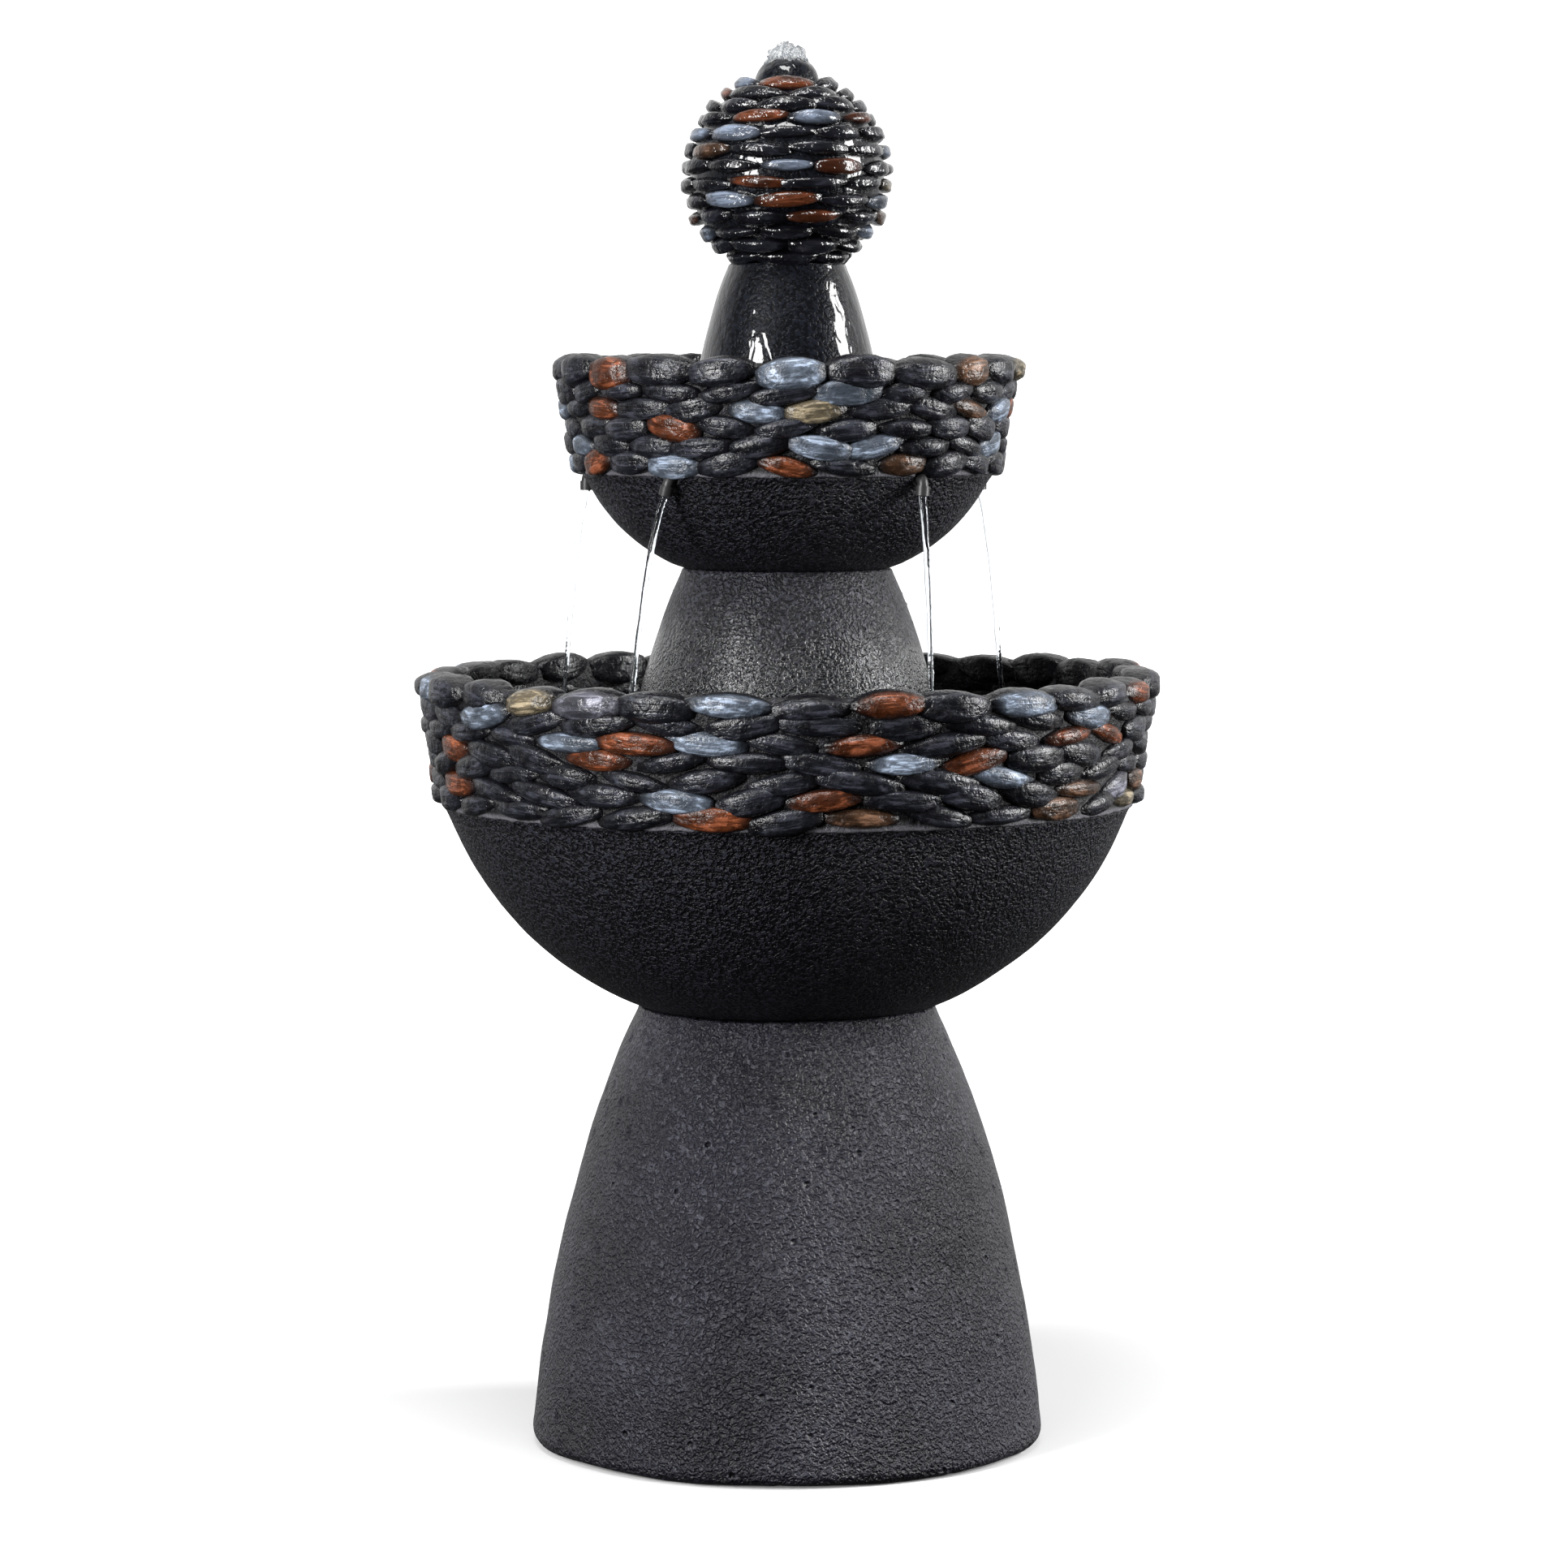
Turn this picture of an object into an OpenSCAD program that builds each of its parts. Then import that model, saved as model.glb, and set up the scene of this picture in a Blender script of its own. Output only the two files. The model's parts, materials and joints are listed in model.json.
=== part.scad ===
// Three-tier pebble fountain in cast stone resin. Millimetres, +Z up, origin at the
// centre of the foot, front towards -Y. Water rises through one straight hose on the
// axis, spills over the pebble ball into the upper bowl, and falls from five elbow
// nozzles into the lower bowl, where the pump stands under the middle pedestal.

/* [Base pedestal] */
// Height of the base pedestal, floor to shoulder
base_h = 331; // [270:1:400]
// Radius of its foot
base_foot_r = 193; // [160:1:235]
// Radius of its shoulder, which the lower bowl's foot matches
base_top_r = 112; // [93:1:135]
// How far its side bows out from a straight line
base_bow = 15; // [8:1:20]
// Wall of the base pedestal
base_wall = 8; // [6:0.5:11]
// Width of the flat rim that it stands on
base_rim_w = 20; // [14:1:30]
// Radius of the cable notch in its foot, at the back
cable_notch_r = 12; // [8:1:16]

/* [Lower bowl] */
// Radius at the ledge under the pebbles
lower_ledge_r = 257; // [214:1:308]
// Height of that ledge above the bowl's foot
lower_ledge_h = 152; // [127:1:182]
// How far the underside bows out from a straight line
lower_bow = 23; // [12:1:30]
// Wall of the lower bowl
lower_wall = 8; // [6:0.5:11]
// Height of the pebble band, ledge to rim
lower_band_h = 101; // [84:1:121]
// How much wider the wall is at the rim than at the ledge
lower_flare = 13; // [6:1:18]
// Courses of pebbles under the rim stones
lower_rows = 6; // [4:1:8]

/* [Upper bowl] */
// Radius at the ledge under the pebbles
upper_ledge_r = 152.5; // [128:0.5:183]
// Height of that ledge above the bowl's foot
upper_ledge_h = 70; // [58:1:84]
// How far the underside bows out from a straight line
upper_bow = 10; // [5:1:14]
// Wall of the upper bowl
upper_wall = 7; // [5:0.5:9]
// Height of the pebble band, ledge to rim
upper_band_h = 88; // [73:1:106]
// How much wider the wall is at the rim than at the ledge
upper_flare = 16; // [8:1:20]
// Courses of pebbles under the rim stones
upper_rows = 5; // [3:1:7]

/* [Pebbles] */
// Mortar that the pebbles lie in
mortar = 2.5; // [1.5:0.5:4]
// How far a course of pebbles stands out of the mortar
pebble_proud = 6.5; // [4:0.5:8]
// Radius of the rounded rim stones
rim_bead_r = 9; // [7:0.5:11]
// Depth that the rim stones lap down inside the bowl
rim_lap = 16; // [8:1:24]

/* [Middle pedestal and neck] */
// Height of the middle pedestal
mid_h = 314; // [262:1:377]
// Radius of its shoulder, which the upper bowl's foot matches
mid_top_r = 79; // [66:1:95]
// How far its side bows out
mid_bow = 21; // [12:1:26]
// Wall of the middle pedestal
mid_wall = 7; // [5:0.5:9]
// Radius of the water inlets round its foot
inlet_r = 14; // [10:1:18]
// Number of water inlets
inlet_count = 4; // [2:1:6]
// Height of the neck
neck_h = 213; // [178:1:256]
// Radius of the neck's foot
neck_foot_r = 72; // [60:1:84]
// Radius of the neck's top
neck_top_r = 44; // [37:1:53]
// How far its side bows out
neck_bow = 13; // [6:1:16]
// Wall of the neck
neck_wall = 6; // [4:0.5:8]

/* [Ball] */
// Radius of the ball's shell
ball_r = 71; // [60:1:85]
// Height of its centre above its seat on the neck
ball_rise = 65; // [56:1:68]
// Wall of the shell
ball_wall = 6; // [4:0.5:8]
// Courses of pebbles round it
ball_rows = 13; // [9:1:15]
// Height of the spout dome over the top of the shell
spout_rise = 17; // [12:1:22]
// Radius of the water outlet in the dome
spout_bore_r = 5; // [3:0.5:6]

/* [Seats] */
// Height of the ring that centres the tier above
seat_h = 6; // [4:0.5:9]
// Width of the shoulder outside that ring
seat_in = 16; // [12:1:20]
// Width of the ring itself
seat_w = 9; // [6:0.5:10]
// Play round and over the ring
seat_play = 1; // [0.5:0.25:2]

/* [Nozzles] */
// Number of nozzles round the upper bowl
nozzle_count = 5; // [5]
// Direction of the first nozzle, from the front towards +X
nozzle_turn = -33; // [-36:1:36]
// How far each elbow is turned in its bush at rest, in degrees
nozzle_swing = [16, 5, 0, 0, 0]; // [-20:1:20]
// Outer radius of the elbow tube
nozzle_r = 4; // [3.5:0.25:4.5]
// Wall of the elbow tube
nozzle_wall = 1; // [0.75:0.25:1.25]
// Bend radius on the tube's middle line
nozzle_bend_r = 5.5; // [5:0.5:6.5]
// Distance of the drop leg from the bowl's ledge
nozzle_reach = 4.5; // [4.5:0.5:8]
// Length of the drop leg below the bend
nozzle_drop = 6; // [6:0.5:12]
// Outer radius of the sleeve on the drop leg
sleeve_r = 5; // [4.75:0.25:5.5]
// Length of the sleeve
sleeve_l = 7; // [4:0.5:7.5]
// Wall of the rubber grommet round each tube
grommet_wall = 2; // [1.5:0.25:2]

/* [Hose and pump] */
// Outer radius of the delivery hose
hose_r = 8; // [7:0.25:9]
// Wall of the delivery hose
hose_wall = 2; // [1.5:0.25:2.5]
// Width and height of the pump housing
pump_w = 56; // [47:1:67]
pump_h = 50; // [46:1:60]
// Depth of the motor housing
pump_d = 52; // [46:1:62]
// Depth of the strainer in front of it
strainer_d = 46; // [44:1:54]
// Height of the suction cups
cup_h = 8; // [6:1:10]
// Radius of the rotor
rotor_r = 9; // [7:0.5:9]
// Radius of the impeller's shaft
shaft_r = 1.5; // [1:0.25:2]
// Running clearance round the shafts and tubes that turn
run_gap = 0.05; // [0.02:0.01:0.08]

/* [Hidden] */
$fn = 96;
FINE = 256;         // for the long, shallow bows of the pedestals and bowls
FAR = 600;          // wider than any piece

// Levels, from the floor up
recess_h = seat_h + seat_play;
lower_z = base_h;
lower_floor_z = lower_z + recess_h + lower_wall;
lower_ledge_z = lower_z + lower_ledge_h;
upper_z = lower_floor_z + mid_h;
upper_floor_z = upper_z + recess_h + upper_wall;
upper_ledge_z = upper_z + upper_ledge_h;
ball_z = upper_floor_z + neck_h;
ball_mid_z = ball_z + ball_rise;
ball_top_z = ball_mid_z + ball_r;
spout_z = ball_top_z + spout_rise;

// The circle that bows out by sag to the right of the way from p to q
function bow_r(p, q, sag) = (norm(q - p) ^ 2 / 4 + sag ^ 2) / (2 * sag);
function bow_c(p, q, sag) = let (u = (q - p) / norm(q - p))
    (p + q) / 2 - [u.y, -u.x] * (bow_r(p, q, sag) - sag);
// Radius that the bow has at height z, with the circle made smaller by inset
function bow_at(p, q, sag, inset, z) = let (c = bow_c(p, q, sag), r = bow_r(p, q, sag) - inset)
    c.x + sqrt(r ^ 2 - (z - c.y) ^ 2);

lower_p = [base_top_r, lower_z];
lower_q = [lower_ledge_r, lower_ledge_z];
upper_p = [mid_top_r, upper_z];
upper_q = [upper_ledge_r, upper_ledge_z];
foot_play = 2;      // between a pedestal's foot and the curve of the bowl that it stands in
mid_foot_r = bow_at(lower_p, lower_q, lower_bow, lower_wall, lower_floor_z) - foot_play;

nozzle_z = upper_ledge_z;
nozzle_out = upper_ledge_r + nozzle_reach;
nozzle_stub = 5;        // length of the tube inside the bowl
nozzle_in = upper_ledge_r - upper_wall - nozzle_stub;
bend_y = nozzle_out - nozzle_bend_r;    // where the elbow starts to turn down
grommet_r = nozzle_r + grommet_wall;
hose_bore_r = hose_r - hose_wall;
hose_play = 0.1;        // round the hose where a tier slides over it

pump_z = lower_floor_z + cup_h;
axle_z = pump_z + pump_h / 2;
pump_y = 10;        // front of the motor housing, behind the outlet
volute_r = 22;
volute_d = 18;
chamber_r = 19;
skin = 2.5;         // walls of the moulded pump parts
barb_z = axle_z + 35;
barb_flange = 3;
hose_z = barb_z + barb_flange;
hose_top_z = spout_z - 10;
strainer_y = pump_y - strainer_d;

// Solid of revolution inside a bow, between two heights
module bowed(p, q, sag, z0, z1, inset = 0) {
    intersection() {
        translate(bow_c(p, q, sag)) circle(r = bow_r(p, q, sag) - inset, $fn = FINE);
        translate([0, z0]) square([FAR, z1 - z0]);
    }
}

// Bell pedestal on its own foot at height z, hollow, with a shoulder and a centring ring on top
module bell(z, h, foot_r, top_r, bow, wall) {
    p = [foot_r, z];
    q = [top_r, z + h];
    ring_r = top_r - seat_in;
    rotate_extrude()
        difference() {
            union() {
                bowed(p, q, bow, z, z + h);
                translate([0, z + h]) square([ring_r, seat_h]);
            }
            bowed(p, q, bow, z - 1, z + h - wall, wall);
            translate([0, z]) square([ring_r - seat_w, h + seat_h + 1]);
        }
}

// Outline of a bowl without its pebbles: bowed underside, flared wall, flat floor, recessed foot
module bowl(p, q, bow, wall, flare, band_h, floor_z) {
    run = band_h - rim_bead_r * 2;
    lean = [flare / band_h, 1];             // slope of the wall above the ledge
    rotate_extrude()
        difference() {
            union() {
                bowed(p, q, bow, p.y, q.y);
                polygon([[0, q.y], q, q + lean * run, [0, q.y + run]]);
            }
            bowed(p, q, bow, floor_z, q.y, wall);
            polygon([[0, q.y], q - [wall, 0], q - [wall, 0] + lean * (run + 1), [0, q.y + run + 1]]);
            translate([0, p.y - 1]) square([p.x - seat_in + seat_play, recess_h + 1]);
        }
}

rim_out = 2;        // how far the rim stones sit outwards of the wall
lap_t = 5;          // thickness of their lap inside the bowl
// Pebble band: courses of pebbles in mortar outside the wall, and rim stones lapped over it
module pebble_band(q, wall, flare, band_h, rows) {
    run = band_h - rim_bead_r * 2;
    top = q.y + run;
    back = q.x + flare * run / band_h;      // outside of the wall at its top
    pitch = run / rows;
    bead_r = (pitch ^ 2 / 4 + pebble_proud ^ 2) / (2 * pebble_proud);
    face = mortar + pebble_proud - bead_r;
    rotate_extrude()
        difference() {
            union() {
                polygon([q, q + [mortar, 0], [back + mortar, top], [back, top]]);
                for (i = [0 : rows - 1])
                    translate([q.x + flare * (i + 0.5) * pitch / band_h + face,
                               q.y + (i + 0.5) * pitch]) circle(r = bead_r);
                // rim stones, flat on top, lapped down inside
                for (x = [back - wall + rim_out, back + rim_out])
                    translate([x, top + rim_bead_r]) circle(r = rim_bead_r);
                translate([back - wall + rim_out, top]) square([wall, 2 * rim_bead_r]);
                translate([back - wall - lap_t, top - rim_lap + rim_bead_r])
                    square([lap_t, rim_lap]);
            }
            // the wall that the band is set on
            polygon([[0, q.y], q, [back, top], [back - wall, top],
                     [q.x - wall, q.y]]);
            translate([0, q.y - FAR]) square([FAR, FAR]);
        }
}

module base_pedestal() {
    p = [base_foot_r, 0];
    q = [base_top_r, base_h];
    color([0.17, 0.17, 0.20])
        difference() {
            union() {
                bell(0, base_h, base_foot_r, base_top_r, base_bow, base_wall);
                rotate_extrude()
                    difference() {
                        bowed(p, q, base_bow, 0, base_rim_w, base_wall / 2);
                        translate([0, -1]) square([base_foot_r - base_rim_w, base_rim_w + 2]);
                    }
            }
            translate([0, base_foot_r - 3 * base_rim_w, 0]) rotate([-90, 0, 0])
                cylinder(r = cable_notch_r, h = 4 * base_rim_w);
        }
}

module lower_bowl() {
    color([0.13, 0.13, 0.16])
        difference() {
            bowl(lower_p, lower_q, lower_bow, lower_wall, lower_flare, lower_band_h, lower_floor_z);
            at_cable() cylinder(r = cable_hole_r, h = 4 * recess_h, center = true);
        }
}

module lower_pebble_band() {
    color([0.36, 0.31, 0.29])
        pebble_band(lower_q, lower_wall, lower_flare, lower_band_h, lower_rows);
}

// Rubber bush for the mains lead in the lower bowl's floor, inside the middle pedestal
cable_r = 3.5;
cable_hole_r = 7;
lip = 2;            // thickness of a bush's two lips
lip_w = 3;          // their width outside the hole
cable_side = 15;    // from the pump's side to the hole
cable_back = 17;    // from the pump's back to the hole
module at_cable() {
    translate([pump_w / 2 + cable_hole_r + cable_side, pump_y + pump_d - cable_back, lower_floor_z])
        children();
}
module bush(bore_r, hole_r, wall) {
    rotate_extrude()
        difference() {
            union() {
                translate([0, -wall]) square([hole_r, wall]);
                square([hole_r + lip_w, lip]);
                translate([0, -wall - lip]) square([hole_r + lip_w, lip]);
            }
            translate([0, -FAR / 2]) square([bore_r, FAR]);
        }
}
module cable_grommet() {
    color([0.08, 0.08, 0.08]) at_cable() bush(cable_r, cable_hole_r, lower_wall);
}

module mid_pedestal() {
    color([0.19, 0.19, 0.22])
        difference() {
            bell(lower_floor_z, mid_h, mid_foot_r, mid_top_r, mid_bow, mid_wall);
            for (i = [0 : inlet_count - 1])
                rotate([0, 0, i * 360 / inlet_count])
                    translate([mid_foot_r / 2, 0, lower_floor_z]) rotate([0, 90, 0])
                        cylinder(r = inlet_r, h = mid_foot_r);
        }
}

// Places its children at nozzle i, with -Y outwards from the bowl
module at_nozzle(i) {
    rotate([0, 0, nozzle_turn + i * 360 / nozzle_count]) translate([0, 0, nozzle_z]) children();
}
module nozzle_holes(r) {
    for (i = [0 : nozzle_count - 1])
        at_nozzle(i) rotate([90, 45, 0])
            translate([0, 0, nozzle_in]) cylinder(r = r, h = FAR / 10);
}

hose_hole_r = 12;
module upper_bowl() {
    color([0.10, 0.10, 0.13])
        difference() {
            bowl(upper_p, upper_q, upper_bow, upper_wall, upper_flare, upper_band_h, upper_floor_z);
            nozzle_holes(grommet_r);
            translate([0, 0, upper_z]) cylinder(r = hose_hole_r, h = 4 * recess_h);
        }
}

module upper_pebble_band() {
    color([0.33, 0.36, 0.41])
        difference() {
            pebble_band(upper_q, upper_wall, upper_flare, upper_band_h, upper_rows);
            nozzle_holes(grommet_r + 0.3);
        }
}

module hose_grommet() {
    color([0.08, 0.08, 0.08])
        translate([0, 0, upper_floor_z]) bush(hose_r + hose_play, hose_hole_r, upper_wall);
}

module nozzle_grommets() {
    color([0.08, 0.08, 0.08])
        for (i = [0 : nozzle_count - 1])
            at_nozzle(i) rotate([90, 0, 0]) translate([0, 0, nozzle_in + 1])
                difference() {
                    cylinder(r = grommet_r, h = bend_y - nozzle_in - 1);
                    translate([0, 0, -1]) cylinder(r = nozzle_r + run_gap, h = bend_y);
                }
}

// Elbow tube of radius r: in through the wall, a quarter bend, and the drop leg
module elbow(r, extra = 0) {
    rotate([90, 0, 0]) translate([0, 0, nozzle_in - extra])
        cylinder(r = r, h = bend_y - nozzle_in + extra, $fn = 48);
    translate([0, -bend_y, -nozzle_bend_r]) rotate([180, -90, 0])
        rotate_extrude(angle = 90, $fn = 48) translate([nozzle_bend_r, 0]) circle(r = r, $fn = 48);
    translate([0, -nozzle_out, -nozzle_bend_r - nozzle_drop - extra])
        cylinder(r = r, h = nozzle_drop + extra, $fn = 48);
}

module nozzle(i) {
    color([0.05, 0.05, 0.05])
        at_nozzle(i) rotate([0, nozzle_swing[i], 0]) difference() {
            elbow(nozzle_r);
            elbow(nozzle_r - nozzle_wall, 1);
        }
}

module nozzle_sleeve(i) {
    overhang = 1.5;                         // how far the sleeve reaches past the tube's end
    color([0.05, 0.05, 0.05])
        at_nozzle(i) rotate([0, nozzle_swing[i], 0])
            translate([0, -nozzle_out, -nozzle_bend_r - nozzle_drop - overhang])
                difference() {
                    cylinder(r = sleeve_r, h = sleeve_l, $fn = 48);
                    translate([0, 0, -1]) cylinder(r = nozzle_r, h = sleeve_l + 2, $fn = 48);
                }
}

module neck() {
    color([0.07, 0.07, 0.09])
        bell(upper_floor_z, neck_h, neck_foot_r, neck_top_r, neck_bow, neck_wall);
}

ball_seat_r = neck_top_r - seat_in + seat_play / 2;
ball_foot_r = neck_top_r - 4;
ball_foot_h = ball_r / 5;
spigot_r = 14;      // of the dome, in the shell's top
module ball_shell() {
    color([0.07, 0.07, 0.09])
        rotate_extrude()
            difference() {
                union() {
                    intersection() {
                        translate([0, ball_mid_z]) circle(r = ball_r);
                        translate([0, ball_z]) square([FAR, FAR]);
                    }
                    translate([0, ball_z]) square([ball_foot_r, ball_foot_h]);
                }
                translate([0, ball_mid_z]) circle(r = ball_r - ball_wall);
                translate([0, ball_z - 1]) square([ball_seat_r, ball_r / 3]);
                translate([0, ball_mid_z]) square([spigot_r, FAR]);
                translate([-FAR, 0]) square([FAR, 2 * FAR]);
            }
}

// Courses of flat pebbles round the ball, between its foot and the spout dome
module ball_pebble_rings() {
    ring_r = ball_r + 2;                    // to the middle of a course
    film = 1.5;                             // mortar between the courses
    low = -asin((ball_rise - 7) / ring_r);  // latitude of the lowest course
    high = 62;                              // and of the highest
    step = (high - low) / (ball_rows - 1);
    bead_r = ring_r * sin(step / 2);
    color([0.20, 0.22, 0.26])
        rotate_extrude()
            difference() {
                union() {
                    for (i = [0 : ball_rows - 1])
                        translate([ring_r * cos(low + i * step),
                                   ball_mid_z + ring_r * sin(low + i * step)])
                            circle(r = bead_r);
                    intersection() {
                        translate([0, ball_mid_z]) circle(r = ball_r + film);
                        translate([ring_r * cos(high), ball_z + 1])
                            square([FAR, ball_rise + ring_r * sin(high)]);
                    }
                }
                translate([0, ball_mid_z]) circle(r = ball_r);
                translate([0, ball_z - FAR]) square([ball_foot_r, FAR + ball_foot_h]);
                translate([0, ball_z - FAR]) square([FAR, FAR]);
            }
}

module spout_dome() {
    foot = [25, ball_top_z - 8];
    tip = [spout_bore_r + 4, spout_z];
    dome_bow = 3;
    spigot_l = ball_wall + 9;
    color([0.06, 0.06, 0.07])
        rotate_extrude()
            difference() {
                union() {
                    difference() {
                        bowed(foot, tip, dome_bow, foot.y, tip.y);
                        translate([0, ball_mid_z]) circle(r = ball_r);
                    }
                    translate([0, ball_top_z - spigot_l]) square([spigot_r, spigot_l + 3]);
                }
                translate([-1, 0]) square([hose_r + hose_play + 1, hose_top_z + 1]);
                translate([-1, 0]) square([spout_bore_r + 1, 2 * FAR]);
                translate([-FAR, 0]) square([FAR, 2 * FAR]);
            }
}

// Round-cornered block of the pump, lying along Y
corner = 6;
module pump_block(w, h, d, r) {
    rotate([90, 0, 0]) translate([0, 0, -d])
        linear_extrude(d) {
            square([w - 2 * r, h], center = true);
            square([w, h - 2 * r], center = true);
            for (x = [-1, 1], y = [-1, 1])
                translate([x * (w / 2 - r), y * (h / 2 - r)]) circle(r = r);
        }
}
module along_y(y, r, d) {
    translate([0, y, 0]) rotate([-90, 0, 0]) cylinder(r = r, h = d);
}

rotor_l = 35;
rotor_gap = 0.6;        // between the rotor and its well
shaft_seat = 4;         // depth of the shaft's blind hole behind the well
gland_seat = 6;         // depth of the gland's hole in the back
chamber_y = -hose_r - 1;    // front of the volute chamber, ahead of the outlet
cup_x = pump_w / 2 - 10;
cup_y = [pump_y + 10, pump_y + pump_d - 10];
cup_stem_r = 3;
cup_stem_h = 3;
module pump_housing() {
    color([0.10, 0.11, 0.12])
        translate([0, 0, axle_z])
            difference() {
                union() {
                    translate([0, pump_y, 0]) pump_block(pump_w, pump_h, pump_d, corner);
                    along_y(chamber_y, volute_r, volute_d + 1);
                    cylinder(r = hose_r, h = barb_z - axle_z);
                }
                along_y(chamber_y - 1, chamber_r, volute_d - 1);
                along_y(0, rotor_r + rotor_gap, pump_y + rotor_l);
                along_y(0, shaft_r, pump_y + rotor_l + shaft_seat);
                translate([0, 0, 1]) cylinder(r = hose_bore_r, h = barb_z);
                along_y(pump_y + pump_d - gland_seat, gland_r, 2 * gland_seat);
                for (x = [-1, 1], y = cup_y)
                    translate([x * cup_x, y, -pump_h / 2 - 1]) cylinder(r = cup_stem_r, h = cup_stem_h + 1);
            }
}

cover_t = 4;
shaft_end = cover_t / 2;    // how far the shaft sits in the cover
shaft_l = pump_y + rotor_l + shaft_seat - chamber_y + shaft_end;
module volute_cover() {
    inlet_count = 6;
    inlet_r = 3;
    inlet_out = 8;
    color([0.14, 0.15, 0.16])
        translate([0, 0, axle_z])
            difference() {
                along_y(chamber_y - cover_t, volute_r, cover_t);
                along_y(chamber_y - shaft_end, shaft_r, cover_t);
                for (i = [0 : inlet_count - 1])
                    rotate([0, i * 360 / inlet_count, 0]) translate([inlet_out, 0, 0])
                        along_y(chamber_y - cover_t - 1, inlet_r, cover_t + 2);
            }
}

module impeller_shaft() {
    color([0.85, 0.85, 0.82])
        translate([0, 0, axle_z]) along_y(chamber_y - shaft_end, shaft_r, shaft_l);
}

module impeller() {
    hub_y = chamber_y + 1;
    blade_d = 10;
    blade_count = 6;
    blade_t = 1.5;
    blade_play = 3;     // between the blades' tips and the chamber
    hub_r = 5;
    color([0.55, 0.56, 0.58])
        translate([0, 0, axle_z])
            difference() {
                union() {
                    along_y(pump_y - 1, rotor_r, rotor_l);
                    along_y(hub_y, hub_r, pump_y - hub_y);
                    for (i = [0 : blade_count - 1])
                        rotate([0, i * 360 / blade_count, 0])
                            translate([0, hub_y, -blade_t / 2])
                                cube([chamber_r - blade_play, blade_d, blade_t]);
                }
                along_y(-FAR / 2, shaft_r + run_gap, FAR);
            }
}

// Slotted box that slides off the front of the pump, round the outlet
dial_stub_r = 2.5;
slot_w = 3;
slot_step = 7;
slot_margin = 10;   // closed wall beside the slots
module pump_strainer() {
    depth = pump_y - strainer_y;
    slots = floor((pump_w / 2 - corner - slot_margin) / slot_step);
    first_slot = 11;    // from the middle of the front
    side_slot = 14;     // from the front to the first slot of the sides
    color([0.12, 0.13, 0.15])
        translate([0, 0, axle_z])
            difference() {
                translate([0, strainer_y, 0]) pump_block(pump_w, pump_h, depth, corner);
                translate([0, strainer_y + skin, 0])
                    pump_block(pump_w - 2 * skin, pump_h - 2 * skin, depth, corner - skin);
                translate([-hose_r - 1, -hose_r - 1, 0]) cube([2 * hose_r + 2, FAR, pump_h]);
                along_y(strainer_y - 1, dial_stub_r + run_gap, skin + 2);
                for (s = [-1, 1], i = [0 : slots])
                    translate([s * (first_slot + i * slot_step) - slot_w / 2, strainer_y - 1, -pump_h / 4])
                        cube([slot_w, skin + 2, pump_h / 2]);
                for (y = [strainer_y + side_slot : slot_step : pump_y - slot_margin])
                    translate([-FAR / 2, y, -pump_h / 4]) cube([FAR, slot_w, pump_h / 2]);
            }
}

module foam_filter() {
    foam_d = 10;
    foam_in = 6;    // behind the strainer's front wall
    color([0.25, 0.27, 0.30])
        translate([0, strainer_y + skin + foam_in, axle_z])
            pump_block(pump_w - 2 * skin, pump_h - 2 * skin, foam_d, corner - skin);
}

module flow_dial() {
    dial_r = 9;
    dial_t = 5;
    mark_w = 2;     // groove that points to the setting
    mark_d = 2;
    color([0.30, 0.32, 0.35])
        translate([0, 0, axle_z])
            difference() {
                union() {
                    along_y(strainer_y - dial_t, dial_r, dial_t);
                    along_y(strainer_y - 1, dial_stub_r, skin + 3);
                }
                translate([-mark_w / 2, strainer_y - dial_t - 1, 0]) cube([mark_w, mark_d + 1, dial_r + 1]);
            }
}

module suction_cups() {
    cup_foot_r = 8;
    cup_top_r = 5;
    color([0.20, 0.20, 0.20])
        for (x = [-1, 1], y = cup_y)
            translate([x * cup_x, y, lower_floor_z]) {
                cylinder(r1 = cup_foot_r, r2 = cup_top_r, h = cup_h);
                cylinder(r = cup_stem_r, h = cup_h + cup_stem_h);
            }
}

gland_r = 6;
module cable_gland() {
    boot_l = 6;
    lip = 2;
    color([0.08, 0.08, 0.08])
        translate([0, 0, axle_z])
            difference() {
                union() {
                    along_y(pump_y + pump_d - gland_seat, gland_r, gland_seat + lip);
                    along_y(pump_y + pump_d, gland_r + lip, boot_l);
                }
                along_y(pump_y + pump_d - gland_seat - 1, cable_r, FAR);
            }
}

module outlet_barb() {
    barb_l = 22;
    barb_wall = 1.6;
    color([0.12, 0.13, 0.15])
        translate([0, 0, barb_z])
            difference() {
                union() {
                    cylinder(r = hose_r, h = barb_flange);
                    cylinder(r = hose_bore_r, h = barb_flange + barb_l);
                }
                translate([0, 0, -1]) cylinder(r = hose_bore_r - barb_wall, h = FAR);
            }
}

module delivery_hose() {
    color([0.75, 0.77, 0.78, 0.6])
        translate([0, 0, hose_z])
            difference() {
                cylinder(r = hose_r, h = hose_top_z - hose_z);
                translate([0, 0, -1]) cylinder(r = hose_bore_r, h = hose_top_z - hose_z + 2);
            }
}

module hose_clamp() {
    band = 1.2;
    clamp_h = 8;
    clamp_up = 7;   // from the hose's lower end
    ear_gap = 6;
    ear_l = 9;
    color([0.70, 0.71, 0.73])
        translate([0, 0, hose_z + clamp_up])
            difference() {
                union() {
                    cylinder(r = hose_r + band, h = clamp_h);
                    for (s = [-1, 1])
                        translate([hose_r, s * ear_gap / 2 - band / 2, 0]) cube([ear_l, band, clamp_h]);
                }
                translate([0, 0, -1]) cylinder(r = hose_r, h = clamp_h + 2);
            }
}

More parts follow.
